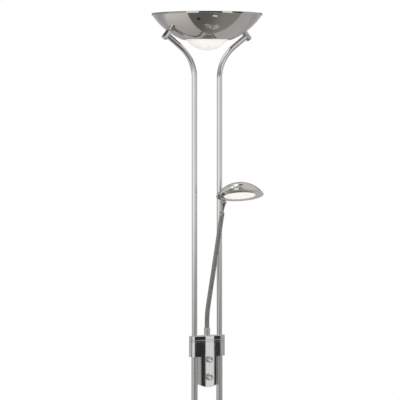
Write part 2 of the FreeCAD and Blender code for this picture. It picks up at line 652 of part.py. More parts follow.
def arm_link(number, low, high):
    """One stretch of the tube: socket at its foot, knuckle or head spigot hole at its top."""
    heading = (high - low).normalize()
    length = low.distanceToPoint(high)
    foot = low - heading * SOCKET_SKIRT
    if number == ARM_LINKS:
        link = rod(ARM_RADIUS, foot, heading, length + SOCKET_SKIRT)
        link = link.cut(rod(SPIGOT_RADIUS + FIT, high - heading * 8, heading, 10))
    else:
        link = rod(ARM_RADIUS, foot, heading, length + SOCKET_SKIRT - SHOULDER_GAP)
        link = with_knuckle(link, number + 1, high, heading)
    axis = hinge_axis(number)
    link = link.cut(knuckle(low, axis, KNUCKLE_RADIUS + SOCKET_GAP, KNUCKLE_HALF + SOCKET_GAP))
    link = link.cut(socket_mouth(low, axis, heading))
    return link.cut(rod(ARM_BORE, low - heading * 10, heading, length + 20))


def flexible_arm():
    """Ferrule, lock nut, fixed arm root and the hinged links of the flexible tube."""
    socket = 20 - FERRULE_SOCKET
    ferrule = turned((2.5, -18), (THREAD_RADIUS, -18), (THREAD_RADIUS, 0), (FERRULE_RADIUS, 0),
                     (FERRULE_RADIUS, 20 - EDGE_BREAK), (FERRULE_RADIUS - EDGE_BREAK, 20),
                     (5.85, 20), (5.85, socket), (2.5, socket))
    save("arm_ferrule", placed(ferrule, Vector(0, 0, HOUSING_TOP), Z))
    save("arm_nut", placed(hexagon(14, 4, THREAD_RADIUS + 0.02), Vector(0, 0, RING_TOP - 4), Z))

    pitch = (arm_length() - ROOT_LENGTH) / ARM_LINKS
    pivots = [arm_point(ROOT_LENGTH + k * pitch)[0] for k in range(ARM_LINKS + 1)]
    root = cylinder(5.8, FERRULE_TOP - FERRULE_SOCKET + 0.2, FERRULE_TOP)
    root = root.fuse(cylinder(ARM_RADIUS, FERRULE_TOP, pivots[0].z - SHOULDER_GAP))
    root = with_knuckle(root, 1, pivots[0], Z)
    save("arm_root", root.cut(cylinder(ARM_BORE, FERRULE_TOP - 10, pivots[0].z + 10)))
    for number in range(1, ARM_LINKS + 1):
        save(f"arm_tube_{number}", arm_link(number, pivots[number - 1], pivots[number]))
        print("hinge", number, [round(c / 1000, 5) for c in pivots[number - 1]])


# ---------------------------------------------------------------- reading head
def head_neck():
    """Collar and flared neck with the socket of the head's hinge, standing on the origin."""
    cup = NECK_LENGTH
    return turned((1.6, -SPIGOT_LENGTH), (SPIGOT_RADIUS, -SPIGOT_LENGTH), (SPIGOT_RADIUS, 0),
                  (5.7, 0), (6.1, 0.5), (6.1, 7.2), (5.3, 8.4), (3.5, 9.2), (3.4, 17.0),
                  (4.6, cup - 9.0), (5.7, cup - 4.5), (6.8, cup - 2.0), (6.8, cup + SOCKET_SKIRT),
                  (1.6, cup + SOCKET_SKIRT))


def head_shell():
    """Shallow spherical dome around +Z, on a short upright rim that starts just below the origin."""
    inner_radius = HEAD_RADIUS - HEAD_WALL
    rise = HEAD_HEIGHT - HEAD_BAND
    sphere = (HEAD_RADIUS ** 2 + rise ** 2) / (2 * rise)
    centre_z = HEAD_HEIGHT - sphere
    outside = cap_points(sphere, centre_z, HEAD_RADIUS, HEAD_STEPS)
    inside = cap_points(sphere - HEAD_WALL, centre_z, inner_radius, HEAD_STEPS)
    return turned((inner_radius, -HEAD_LIP), (HEAD_RADIUS, -HEAD_LIP), *outside, *reversed(inside))


def diffuser_clip(angle):
    """Bent strip that presses the diffuser onto the ring, at an angle around +Z."""
    top = RING_WALL + DIFFUSER_WALL + 0.6
    clip = box(36, 45.6, -3.5, 3.5, top - 0.6, top).fuse(box(45, 45.6, -3.5, 3.5, RING_WALL, top))
    clip = clip.fuse(box(45, 50, -3.5, 3.5, RING_WALL, RING_WALL + 0.6)).removeSplitter()
    clip.rotate(Vector(0, 0, 0), Z, angle)
    return clip


def head():
    """Neck with its hinge, and the domed head with ring, diffuser, reflector and lamp."""
    end, heading = arm_point(arm_length())
    hinge = end + heading * NECK_LENGTH
    tilt = Vector(HEAD_HINGE_AXIS).normalize()
    socket = knuckle(hinge, tilt, HEAD_KNUCKLE_RADIUS + SOCKET_GAP, HEAD_KNUCKLE_HALF + SOCKET_GAP)
    mouth = box(-4.2, 4.2, -4.2, 4.2, NECK_LENGTH, NECK_LENGTH + 5)
    mouth.rotate(Vector(0, 0, 0), Z, math.degrees(math.atan2(tilt.y, tilt.x)))
    save("head_neck", placed(head_neck().cut(mouth), end, heading).cut(socket))

    up = Vector(HEAD_UP).normalize()
    seat = hinge + up * STEM_LENGTH
    centre = seat + HEAD_CENTRE_FROM_SEAT
    centre = centre - up * (centre - seat).dot(up)
    seat_on_ring = FreeCAD.Rotation(Z, up).inverted().multVec(seat - centre)
    print("head hinge", [round(c / 1000, 5) for c in hinge])
    print("head centre", [round(c / 1000, 5) for c in centre])

    stem = knuckle(hinge, tilt, HEAD_KNUCKLE_RADIUS, HEAD_KNUCKLE_HALF)
    stem = stem.fuse(rod(STEM_RADIUS, hinge, up, STEM_LENGTH + RING_WALL))
    stem = stem.fuse(rod(4.5, seat - up * 1.2, up, 1.2))
    save("head_stem", stem.cut(rod(1.3, hinge - up * 10, up, 30)))

    save("head_shell", placed(head_shell(), centre, up))
    ring = tube(RING_RADIUS, DIFFUSER_OPENING, 0, RING_WALL)
    ring = ring.cut(cylinder(STEM_RADIUS + 0.02, -1, 3, seat_on_ring.x, seat_on_ring.y))
    save("head_ring", placed(ring, centre, up))
    glass = cylinder(DIFFUSER_RADIUS, RING_WALL, RING_WALL + DIFFUSER_WALL)
    save("head_diffuser", placed(glass, centre, up))
    save("diffuser_clips", *[placed(diffuser_clip(angle), centre, up) for angle in (30, 150, 270)])

    low = RING_WALL + DIFFUSER_WALL + 0.8
    top = low + 19
    reflector = turned((REFLECTOR_RADIUS - REFLECTOR_WALL, low), (REFLECTOR_RADIUS, low),
                       (24.0, top), (0, top), (0, top - REFLECTOR_WALL),
                       (24.0 - REFLECTOR_WALL / 2, top - REFLECTOR_WALL))
    reflector = reflector.cut(box(-45, -17, -9, 9, 0, top + 5))
    save("head_reflector", placed(reflector, centre, up))
    save("head_lampholder", placed(box(-38, -18, -7.5, 7.5, low, low + 14), centre, up))
    capsule = turned((0, 0), (4.5, 0), (4.5, 9), (CAPSULE_RADIUS, 11), (CAPSULE_RADIUS, 32),
                     *dome_points(CAPSULE_RADIUS, CAPSULE_RADIUS, 32, 3))
    capsule = placed(capsule, Vector(-17.9, 0, low + 7.2), X)
    save("head_lamp", placed(capsule, centre, up))


def main():
    """Builds every piece of the lamp and writes it to the parts folder."""
    os.makedirs("parts", exist_ok=True)
    base()
    poles()
    uplighter()
    housing()
    dimmers()
    flexible_arm()
    head()


main()
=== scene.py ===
"""Looks of a torchiere floor lamp with a reading light on a flexible arm.

Every sub-assembly of the lamp is a class. Its fields hold the sizes in millimetres, and its
methods build the meshes and dress them. Finishes are frozen dataclasses, each with its own
procedural material.
"""
from __future__ import annotations

import logging
import math
from dataclasses import dataclass, field
from enum import Enum
from typing import Any, ClassVar, Iterable, Sequence

import bmesh
import bpy
from bpy.types import Material, Mesh, Node, NodeSocket, Object
from mathutils import Matrix, Vector


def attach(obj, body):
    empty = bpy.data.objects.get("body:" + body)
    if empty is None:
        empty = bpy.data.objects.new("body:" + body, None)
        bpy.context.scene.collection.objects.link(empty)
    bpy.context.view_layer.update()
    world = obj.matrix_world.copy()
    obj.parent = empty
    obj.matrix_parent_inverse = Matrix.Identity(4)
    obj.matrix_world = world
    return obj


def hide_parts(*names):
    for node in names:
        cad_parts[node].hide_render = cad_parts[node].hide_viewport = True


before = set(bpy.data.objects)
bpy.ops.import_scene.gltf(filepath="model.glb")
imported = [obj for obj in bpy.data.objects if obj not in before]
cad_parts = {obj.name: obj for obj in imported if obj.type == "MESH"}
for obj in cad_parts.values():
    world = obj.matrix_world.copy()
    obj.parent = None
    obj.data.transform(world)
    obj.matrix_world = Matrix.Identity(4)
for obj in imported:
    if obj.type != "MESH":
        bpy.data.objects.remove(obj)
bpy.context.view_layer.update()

MM = 0.001
UP = Vector((0.0, 0.0, 1.0))
Outline = Sequence[tuple[float, float]]
log = logging.getLogger("lamp")
SLOTS: dict[str, str] = {}


class Side(Enum):
    """Left or right of the lamp, as seen from the front."""

    LEFT = -1
    RIGHT = 1


# ---------------------------------------------------------------- finishes
class Shader:
    """A principled material with helpers for its texture nodes."""

    def __init__(self, name: str, colour: Sequence[float], roughness: float, metallic: float = 0.0) -> None:
        """Starts a material.

        Args:
            name: the material's name.
            colour: base colour, linear.
            roughness: base roughness.
            metallic: 1 for bare metal.
        """
        self.material = bpy.data.materials.new(name)
        self.material.use_nodes = True
        self.tree = self.material.node_tree
        self.surface = self.tree.nodes["Principled BSDF"]
        self.set(base_color=(*colour, 1.0), roughness=roughness, metallic=metallic)
        self.material.diffuse_color = (*colour, 1.0)
        self.place = self.node("ShaderNodeTexCoord").outputs["Object"]

    def set(self, **values: Any) -> None:
        """Sets constants on the surface's own sockets; names are written with underscores."""
        names = {s.name.lower().replace(" ", "_"): s for s in self.surface.inputs}
        for name, value in values.items():
            names[name].default_value = value

    def node(self, kind: str, **inputs: Any) -> Node:
        """Adds a node and fills its inputs.

        Args:
            kind: the node's type.
            inputs: values or sockets by input name, with underscores for spaces.

        Returns:
            The new node.
        """
        made = self.tree.nodes.new(kind)
        for name, value in inputs.items():
            socket = made.inputs[name.replace("_", " ")]
            if isinstance(value, NodeSocket):
                self.tree.links.new(value, socket)
            else:
                socket.default_value = value
        return made

    def stretched(self, scale: Sequence[float], turn: Sequence[float] = (0, 0, 0),
            move: Sequence[float] = (0, 0, 0)) -> NodeSocket:
        """Object coordinates, moved, turned and scaled for a pattern with a direction."""
        mapping = self.node("ShaderNodeMapping", Vector=self.place, Scale=tuple(scale),
            Rotation=tuple(turn), Location=tuple(move))
        return mapping.outputs["Vector"]

    def noise(self, scale: float, detail: float = 3.0, where: NodeSocket | None = None,
            distortion: float = 0.0) -> NodeSocket:
        """Noise between 0 and 1 on object coordinates."""
        made = self.node("ShaderNodeTexNoise", Vector=where or self.place, Scale=scale, Detail=detail,
            Distortion=distortion)
        return made.outputs[0]

    def ranged(self, value: NodeSocket, low: float, high: float, out_low: float,
            out_high: float) -> NodeSocket:
        """Maps a value from one range to another, held within its ends."""
        made = self.node("ShaderNodeMapRange", Value=value, From_Min=low, From_Max=high, To_Min=out_low,
            To_Max=out_high)
        return made.outputs[0]

    def blend(self, factor: Any, first: Any, second: Any, mode: str = "MIX") -> NodeSocket:
        """Mixes two linear colours by a factor; each of the three is a constant or a socket."""
        made = self.tree.nodes.new("ShaderNodeMix")
        made.data_type, made.blend_type = "RGBA", mode
        for number, value in ((0, factor), (6, first), (7, second)):
            if isinstance(value, NodeSocket):
                self.tree.links.new(value, made.inputs[number])
            else:
                made.inputs[number].default_value = (*value, 1.0) if number else value
        return made.outputs[2]

    def colour(self, factor: NodeSocket, first: Sequence[float], second: Sequence[float]) -> None:
        """Drives the base colour between two tones."""
        self.paint(self.blend(factor, first, second))

    def paint(self, value: NodeSocket) -> None:
        """Drives the base colour."""
        self.tree.links.new(value, self.surface.inputs["Base Color"])

    def rough(self, value: NodeSocket) -> None:
        """Drives the roughness."""
        self.tree.links.new(value, self.surface.inputs["Roughness"])

    def bump(self, *heights: tuple[NodeSocket, float, float]) -> None:
        """Stacks bumps on the surface.

        Args:
            heights: (height between 0 and 1, depth in metres, strength) of each bump.
        """
        below: NodeSocket | None = None
        for height, depth, strength in heights:
            made = self.node("ShaderNodeBump", Height=height, Distance=depth, Strength=strength)
            if below is not None:
                self.tree.links.new(below, made.inputs["Normal"])
            below = made.outputs["Normal"]
        if below is not None:
            self.tree.links.new(below, self.surface.inputs["Normal"])


@dataclass(frozen=True)
class Finish:
    """A surface finish; its material is built once and shared."""

    name: str
    slot: str
    colour: tuple[float, float, float]
    roughness: float
    metal: ClassVar[float] = 0.0

    def material(self) -> Material:
        """The finish's material, built at its first use."""
        if self.name not in SLOTS:
            SLOTS[self.name] = self.slot
            self.dress(Shader(self.name, self.colour, self.roughness, self.metal))
        return bpy.data.materials[self.name]

    def tone(self, factor: float) -> tuple[float, ...]:
        """The finish's colour, lighter or darker by a factor and at most white."""
        return tuple(min(c * factor, 1.0) for c in self.colour)

    def dress(self, shader: Shader) -> None:
        """Adds the plain moulded texture that other finishes replace."""
        cloud = shader.noise(90.0, 4.0)
        shader.colour(cloud, self.tone(0.88), self.tone(1.1))
        shader.rough(shader.ranged(cloud, 0.3, 0.7, self.roughness * 0.9, self.roughness * 1.12))
        shader.bump((shader.noise(1400.0, 2.0), 0.00004, 0.4))


@dataclass(frozen=True)
class Plated(Finish):
    """Polished chrome plate: bright, with a faint haze, fine polishing lines and soft waves."""

    metal: ClassVar[float] = 1.0
    haze: float = 0.05
    wave: float = 0.00003

    def dress(self, shader: Shader) -> None:
        """Adds the plate's texture."""
        cloud = shader.noise(26.0, 5.0, distortion=0.4)
        smear = shader.noise(7.0, 3.0, shader.stretched((1.0, 1.0, 0.35)))
        shader.colour(cloud, self.tone(0.95), self.tone(1.03))
        haze = shader.node("ShaderNodeMath", Value=shader.ranged(cloud, 0.35, 0.75, 0.0, self.haze))
        haze.operation = "ADD"
        shader.tree.links.new(shader.ranged(smear, 0.4, 0.7, self.roughness, self.roughness * 1.8),
            haze.inputs[1])
        shader.rough(haze.outputs[0])
        shader.bump((shader.noise(14.0, 1.0), self.wave, 0.25),
            (shader.noise(900.0, 2.0, shader.stretched((1.0, 1.0, 0.06))), 0.000004, 0.25))


WAVE_TURNS = 20.0
"""Scale at which the wave texture has one ring in a unit of length, as 1 over this."""


@dataclass(frozen=True)
class Spun(Finish):
    """Polished metal with the rings that spinning leaves around an upright axis."""

    metal: ClassVar[float] = 1.0
    pitch: float = 0.0016
    depth: float = 0.000006
    centre: tuple[float, float] = (0.0, 0.0)

    def dress(self, shader: Shader) -> None:
        """Adds the spun metal's texture."""
        cloud = shader.noise(17.0, 4.0, distortion=0.6)
        shader.colour(cloud, self.tone(0.93), self.tone(1.05))
        shader.rough(shader.ranged(cloud, 0.35, 0.7, self.roughness, self.roughness + 0.045))
        rings = shader.node("ShaderNodeTexWave", Scale=1.0 / self.pitch / WAVE_TURNS, Distortion=0.6,
            Detail=2.0, Vector=shader.stretched((1, 1, 1), move=(-self.centre[0], -self.centre[1], 0)))
        rings.wave_type = "RINGS"
        rings.rings_direction = "Z"
        shader.bump((rings.outputs["Fac"], self.depth, 0.3), (shader.noise(12.0, 1.0), 0.00004, 0.2))


@dataclass(frozen=True)
class Satin(Finish):
    """Dull nickel of the flexible tube: painted shade in the grooves, brighter crests."""

    metal: ClassVar[float] = 1.0
    # Painted shade: the colour that darkens the tube's grooves.
    groove: tuple[float, float, float] = (0.25, 0.24, 0.225)

    def dress(self, shader: Shader) -> None:
        """Adds the dull nickel's texture."""
        grime = shader.noise(60.0, 5.0, distortion=0.5)
        # The groove measure places the painted groove shade; the grime noise only varies the tone at
        # random.
        rib = shader.node("ShaderNodeAttribute")
        rib.attribute_name = "groove"
        tone = shader.blend(rib.outputs["Fac"], self.colour, self.groove)
        stain = shader.blend(grime, (0.78, 0.77, 0.75), (1.1, 1.1, 1.1))
        mixed = shader.blend(1.0, tone, stain, "MULTIPLY")
        shader.paint(mixed)
        shader.rough(shader.ranged(grime, 0.3, 0.75, self.roughness - 0.06, self.roughness + 0.12))
        shader.bump((shader.noise(1500.0, 2.0), 0.00001, 0.4))


@dataclass(frozen=True)
class Zinc(Finish):
    """Zinc-plated steel with its faint spangle."""

    metal: ClassVar[float] = 1.0

    def dress(self, shader: Shader) -> None:
        """Adds the zinc plate's texture."""
        spangle = shader.node("ShaderNodeTexVoronoi", Vector=shader.place, Scale=260.0, Randomness=1.0)
        tone = shader.node("ShaderNodeSeparateColor", Color=spangle.outputs["Color"]).outputs[0]
        shader.colour(tone, self.tone(0.82), self.tone(1.15))
        shader.rough(shader.ranged(tone, 0.0, 1.0, self.roughness - 0.08, self.roughness + 0.1))
        shader.bump((shader.noise(700.0, 3.0), 0.00001, 0.5))


@dataclass(frozen=True)
class Brushed(Finish):
    """Brushed or turned light alloy."""

    metal: ClassVar[float] = 1.0

    def dress(self, shader: Shader) -> None:
        """Adds the alloy's texture."""
        lines = shader.noise(60.0, 4.0, shader.stretched((60.0, 1.0, 60.0)))
        shader.colour(lines, self.tone(0.86), self.tone(1.06))
        shader.rough(shader.ranged(lines, 0.3, 0.7, self.roughness - 0.06, self.roughness + 0.08))
        shader.bump((lines, 0.00001, 0.35))


@dataclass(frozen=True)
class Opal(Finish):
    """Satin opal glass, faintly cloudy, with a warm glow of the light that it spreads."""

    glow: float = 0.25
    warm: tuple[float, float, float] = (1.0, 0.97, 0.92)
    coat: float = 0.35

    def dress(self, shader: Shader) -> None:
        """Adds the opal glass's texture."""
        cloud = shader.noise(22.0, 4.0, distortion=0.8)
        shader.colour(cloud, self.tone(0.965), self.colour)
        shader.set(subsurface_weight=0.35, subsurface_radius=(0.010, 0.009, 0.008), subsurface_scale=1.0,
            emission_color=(*self.warm, 1.0), emission_strength=self.glow, coat_weight=self.coat,
            coat_roughness=0.12, specular_ior_level=0.5)
        shader.rough(shader.ranged(cloud, 0.3, 0.7, self.roughness - 0.04, self.roughness + 0.05))
        shader.bump((shader.noise(420.0, 2.0), 0.00001, 0.3))


@dataclass(frozen=True)
class Clear(Finish):
    """Clear glass with slight draw lines."""

    def dress(self, shader: Shader) -> None:
        """Adds the clear glass's texture."""
        shader.set(transmission_weight=0.96, ior=1.47)
        cloud = shader.noise(30.0, 2.0)
        shader.rough(shader.ranged(cloud, 0.4, 0.8, self.roughness, self.roughness + 0.03))
        shader.bump((shader.noise(18.0, 1.0), 0.00005, 0.15))


@dataclass(frozen=True)
class Fired(Finish):
    """Unglazed technical ceramic with small specks."""

    def dress(self, shader: Shader) -> None:
        """Adds the ceramic's texture."""
        specks = shader.noise(800.0, 3.0)
        shader.colour(shader.ranged(specks, 0.25, 0.42, 0.0, 1.0), self.tone(0.7), self.colour)
        shader.rough(shader.ranged(specks, 0.3, 0.7, self.roughness - 0.05, self.roughness + 0.08))
        shader.bump((shader.noise(260.0, 4.0), 0.00005, 0.5))


@dataclass(frozen=True)
class Grainy(Finish):
    """Rough matt surface: painted casting, rubber or felt, by its grain and depth."""

    grain: float = 300.0
    depth: float = 0.0002
    sheen: float = 0.0

    def dress(self, shader: Shader) -> None:
        """Adds the matt surface's texture."""
        coarse = shader.noise(self.grain * 0.2, 5.0)
        fine = shader.noise(self.grain, 6.0, distortion=0.5)
        shader.colour(coarse, self.tone(0.7), self.tone(1.35))
        shader.rough(shader.ranged(fine, 0.3, 0.7, self.roughness - 0.08, min(self.roughness + 0.08, 1.0)))
        shader.set(sheen_weight=self.sheen, sheen_roughness=0.5)
        shader.bump((coarse, self.depth, 0.4), (fine, self.depth * 0.4, 0.6))


@dataclass(frozen=True)
class Laminate(Finish):
    """Bare circuit board with its woven base and straight copper tracks."""

    def dress(self, shader: Shader) -> None:
        """Adds the board's texture."""
        tracks = shader.node("ShaderNodeTexBrick", Vector=shader.stretched((1, 1, 1), (math.pi / 2, 0, 0)),
            Scale=110.0, Mortar_Size=0.06, Color1=(*self.colour, 1.0), Color2=self.tone(0.85) + (1.0,),
            Mortar=(0.55, 0.38, 0.16, 1.0))
        shader.paint(tracks.outputs["Color"])
        shader.bump((tracks.outputs["Fac"], 0.00004, 0.4), (shader.noise(900.0, 2.0), 0.00001, 0.4))


CHROME = Plated("chrome_plate", "chrome", (0.80, 0.79, 0.78), 0.022, 0.02)
NECK_NICKEL = Plated("smoked_nickel_neck", "chrome", (0.44, 0.42, 0.40), 0.06, 0.05)
MOULDED_CHROME = Plated("chrome_on_moulding", "chrome_plastic", (0.80, 0.79, 0.785), 0.045, 0.04, 0.00005)
# Painted shade: the bowl's chrome is darker and warmer than the other chrome, so that its reflections look
# darker.
SHADED_BOWL_CHROME = Spun("chrome_on_spun_bowl", "chrome", (0.70, 0.68, 0.66), 0.04)
BOWL_INSIDE = Spun("satin_bowl_inside", "chrome", (0.78, 0.77, 0.75), 0.22, 0.0022, 0.00002)
TUBE_NICKEL = Satin("dull_nickel_tube", "satin_steel", (0.62, 0.60, 0.575), 0.30)
BALL_NICKEL = Satin("dull_nickel_ball", "satin_steel", (0.40, 0.39, 0.37), 0.30)
ZINC = Zinc("zinc_plated_steel", "zinc_steel", (0.60, 0.61, 0.62), 0.34)
ALLOY = Brushed("turned_alloy", "aluminium", (0.80, 0.81, 0.82), 0.24)
OPAL_GLASS = Opal("satin_opal_glass", "opal_glass", (0.95, 0.95, 0.94), 0.26, 0.30)
DIFFUSER_GLASS = Opal("warm_opal_diffuser", "opal_glass", (0.94, 0.93, 0.90), 0.40, 0.42, (1.0, 0.96, 0.90),
    0.1)
CLEAR_GLASS = Clear("clear_glass", "clear_glass", (0.93, 0.96, 0.97), 0.01)
CERAMIC = Fired("plain_ceramic", "ceramic", (0.86, 0.84, 0.79), 0.42)
CASTING = Grainy("painted_casting", "cast_iron", (0.06, 0.06, 0.062), 0.62, 260.0, 0.0005)
RUBBER = Grainy("black_rubber", "rubber", (0.028, 0.028, 0.03), 0.66, 1100.0, 0.00008)
FELT = Grainy("felt_pad", "felt", (0.07, 0.07, 0.075), 0.95, 900.0, 0.0006, 0.4)
DARK_PLASTIC = Finish("dark_moulding", "dark_plastic", (0.06, 0.06, 0.065), 0.48)
BOARD = Laminate("bare_board", "circuit_board", (0.33, 0.25, 0.10), 0.45)
TUNGSTEN = Brushed("tungsten_wire", "zinc_steel", (0.32, 0.31, 0.30), 0.35)


# ---------------------------------------------------------------- mesh tools
class Round:
    """Numbers of sides of round pieces, from a stud to the bowl."""

    STUD, SMALL, BUSH, BORE, POLE, DISC, BASE, BOWL = 20, 48, 64, 72, 96, 192, 256, 288


def standing(base: Vector, axis: Vector) -> Matrix:
    """Takes +Z at the origin to an axis from a base point, with the least turn."""
    return Matrix.Translation(base) @ UP.rotation_difference(axis.normalized()).to_matrix().to_4x4()


def softened(corners: Sequence[tuple[float, float, float]], steps: int = 5) -> list[tuple[float, float]]:
    """Rounds the corners of a closed outline.

    Args:
        corners: (r, z, corner radius) of each corner, in order.
        steps: straight steps in each rounded corner.

    Returns:
        The (r, z) points of the rounded outline.
    """
    points: list[tuple[float, float]] = []
    count = len(corners)
    for k, (r, z, radius) in enumerate(corners):
        here = Vector((r, z))
        back = Vector(corners[k - 1][:2]) - here
        ahead = Vector(corners[(k + 1) % count][:2]) - here
        if radius <= 0 or back.length < 1e-6 or ahead.length < 1e-6:
            points.append((r, z))
            continue
        half = back.angle(ahead) / 2
        reach = min(radius / math.tan(half), back.length * 0.49, ahead.length * 0.49)
        start = here + back.normalized() * reach
        end = here + ahead.normalized() * reach
        for step in range(steps + 1):
            t = step / steps
            bend = (1 - t) ** 2 * start + 2 * t * (1 - t) * here + t ** 2 * end
            points.append((bend.x, bend.y))
    return points


def arc(centre: tuple[float, float], radius: float, start: float, end: float,
        steps: int) -> list[tuple[float, float]]:
    """Points (r, z) along an arc; angles in degrees, 0 outwards and 90 up."""
    turns = [math.radians(start + (end - start) * k / steps) for k in range(steps + 1)]
    return [(centre[0] + radius * math.cos(t), centre[1] + radius * math.sin(t)) for t in turns]


def shown(name: str, data: Any) -> Object:
    """A new object in the scene with a mesh, camera or light."""
    made = bpy.data.objects.new(name, data)
    bpy.context.scene.collection.objects.link(made)
    return made


def shaded(data: Mesh, sharp: float = 32.0) -> None:
    """Smooths a mesh, with sharp edges where it turns by more than an angle."""
    data.shade_smooth()
    data.set_sharp_from_angle(angle=math.radians(sharp))


def finished(work: bmesh.types.BMesh, name: str, finish: Finish, sharp: float = 32.0,
        weld: float = 1e-6) -> Object:
    """Turns bmesh work into a shown object at the origin.

    Args:
        work: the bmesh, in metres; it is freed here.
        name: the object's name.
        finish: its finish.
        sharp: edge angle in degrees that stays sharp.
        weld: distance at which corners are merged, in metres.

    Returns:
        The new object.
    """
    bmesh.ops.remove_doubles(work, verts=work.verts, dist=weld)
    bmesh.ops.dissolve_degenerate(work, edges=work.edges, dist=1e-8)
    bmesh.ops.delete(work, geom=[e for e in work.edges if not e.link_faces], context="EDGES")
    bmesh.ops.recalc_face_normals(work, faces=work.faces)
    data = bpy.data.meshes.new(name)
    work.to_mesh(data)
    work.free()
    shaded(data, sharp)
    data.materials.append(finish.material())
    return shown(name, data)


def supported(outline: Outline, long: float = 1.6, near: float = 0.25) -> list[tuple[float, float]]:
    """Adds a point close to both ends of every long step of a closed outline."""
    points: list[tuple[float, float]] = []
    for k, (r, z) in enumerate(outline):
        points.append((r, z))
        after = outline[(k + 1) % len(outline)]
        span = math.dist((r, z), after)
        if span > long and (r > 1e-9 or after[0] > 1e-9):
            for t in (near / span, 1 - near / span):
                points.append((r + (after[0] - r) * t, z + (after[1] - z) * t))
    return points


def turned(name: str, outline: Outline, finish: Finish, place: Matrix | None = None, segments: int = 128,
        sharp: float = 32.0) -> Object:
    """A closed solid of revolution around +Z, then placed; sizes in millimetres."""
    where = place or Matrix.Identity(4)
    outline = supported(outline)
    work = bmesh.new()
    rings = []
    for k in range(segments):
        angle = 2 * math.pi * k / segments
        c, s = math.cos(angle), math.sin(angle)
        rings.append([work.verts.new((where @ Vector((r * c, r * s, z))) * MM) for r, z in outline])
    count = len(outline)
    for k in range(segments):
        this, following = rings[k], rings[(k + 1) % segments]
        for j in range(count):
            n = (j + 1) % count
            if outline[j][0] < 1e-9 and outline[n][0] < 1e-9:
                continue
            work.faces.new((this[j], following[j], following[n], this[n]))
    return finished(work, name, finish, sharp)


def piped(name: str, route: Sequence[Vector], outer: float, inner: float, finish: Finish,
        sides: int = 64) -> Object:
    """A hollow tube along a route, with square ends; sizes in millimetres."""
    first, last = (route[1] - route[0]).normalized(), (route[-1] - route[-2]).normalized()
    route = [route[0], route[0] + first * 0.5, route[1] - first * 4.0, *route[1:-1], route[-1] - last * 0.5,
        route[-1]]
    work = bmesh.new()
    heading = (route[1] - route[0]).normalized()
    across = heading.orthogonal().normalized()
    shells: list[list[list[bmesh.types.BMVert]]] = []
    for k, point in enumerate(route):
        ahead = route[min(k + 1, len(route) - 1)] - route[max(k - 1, 0)]
        across = heading.rotation_difference(ahead.normalized()) @ across
        heading = ahead.normalized()
        beside = heading.cross(across)
        ring = []
        for radius in (outer, inner):
            ring.append([work.verts.new((point + (across * math.cos(a) + beside * math.sin(a)) * radius)
                * MM) for a in (2 * math.pi * i / sides for i in range(sides))])
        shells.append(ring)
    for i in range(sides):
        n = (i + 1) % sides
        for low, high in zip(shells, shells[1:]):
            work.faces.new((low[0][i], low[0][n], high[0][n], high[0][i]))
            work.faces.new((low[1][i], high[1][i], high[1][n], low[1][n]))
        for end in (shells[0], shells[-1]):
            work.faces.new((end[0][i], end[1][i], end[1][n], end[0][n]))
    return finished(work, name, finish)


def block(name: str, size: Sequence[float], finish: Finish, place: Matrix, edge: float = 0.4) -> Object:
    """A box with softened edges, centred where it is placed; sizes in millimetres."""
    work = bmesh.new()
    bmesh.ops.create_cube(work, size=1.0)
    for corner in work.verts:
        corner.co = Vector((corner.co.x * size[0], corner.co.y * size[1], corner.co.z * size[2]))
    bmesh.ops.bevel(work, geom=work.edges, offset=edge, segments=3, affect="EDGES", profile=0.5)
    for corner in work.verts:
        corner.co = (place @ corner.co) * MM
    return finished(work, name, finish)


def baked(piece: Object, sharp: float | None = 32.0) -> Object:
    """Replaces an object by its evaluated mesh, without modifiers.

    Args:
        piece: the object; it is removed.
        sharp: edge angle in degrees that stays sharp, or None to keep the mesh's normals.

    Returns:
        The object that takes its place.
    """
    graph = bpy.context.evaluated_depsgraph_get()
    data = bpy.data.meshes.new_from_object(piece.evaluated_get(graph), depsgraph=graph)
    name = piece.name
    bpy.data.objects.remove(piece)
    data.name = name
    if sharp is not None:
        shaded(data, sharp)
    return shown(name, data)


def weighted(piece: Object) -> Object:
    """Lets the large faces lead the normals, so that flat walls reflect as flat ones."""
    modifier = piece.modifiers.new("normals", "WEIGHTED_NORMAL")
    modifier.mode = "FACE_AREA"
    modifier.weight = 50
    modifier.keep_sharp = True
    return baked(piece, None)


def carved(piece: Object, cutters: Iterable[Object], sharp: float = 32.0) -> Object:
    """Cuts other solids out of a piece and removes them."""
    cutters = list(cutters)
    for cutter in cutters:
        modifier = piece.modifiers.new("cut", "BOOLEAN")
        modifier.object = cutter
        modifier.operation = "DIFFERENCE"
        modifier.solver = "EXACT"
    made = baked(piece, sharp)
    for cutter in cutters:
        bpy.data.objects.remove(cutter)
    return made


def softened_copy(node: str, name: str, finish: Finish, edge: float, sharp: float = 30.0) -> Object:
    """A welded copy of a CAD node with a small radius on its sharp edges.

    Args:
        node: the CAD node.
        name: the copy's name.
        finish: its finish.
        edge: radius of its edges in millimetres.
        sharp: edges that turn by more than this are softened, in degrees.

    Returns:
        The finished copy.
    """
    work = bmesh.new()
    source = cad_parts[node].data
    corners = [work.verts.new(v.co) for v in source.vertices]
    for face in source.polygons:
        try:
            work.faces.new([corners[i] for i in face.vertices])
        except ValueError:
            continue
    bmesh.ops.remove_doubles(work, verts=work.verts, dist=2e-6)
    bmesh.ops.dissolve_limit(work, angle_limit=math.radians(0.6), verts=work.verts, edges=work.edges)
    made = finished(work, name, finish, sharp, 1e-7)
    if edge > 0:
        modifier = made.modifiers.new("edge", "BEVEL")
        modifier.width = edge * MM
        modifier.segments = 3
        modifier.limit_method = "ANGLE"
        modifier.angle_limit = math.radians(sharp)
        modifier.harden_normals = False
        made = baked(made, 40.0)
    return made


def fitted(piece: Object, body: str, *nodes: str) -> Object:
    """Rides a piece on a CAD body, in place of the CAD nodes it stands for."""
    piece = weighted(piece)
    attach(piece, body)
    if nodes:
        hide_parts(*nodes)
    log.info("%s rides on %s, %d faces", piece.name, body, len(piece.data.polygons))
    return piece


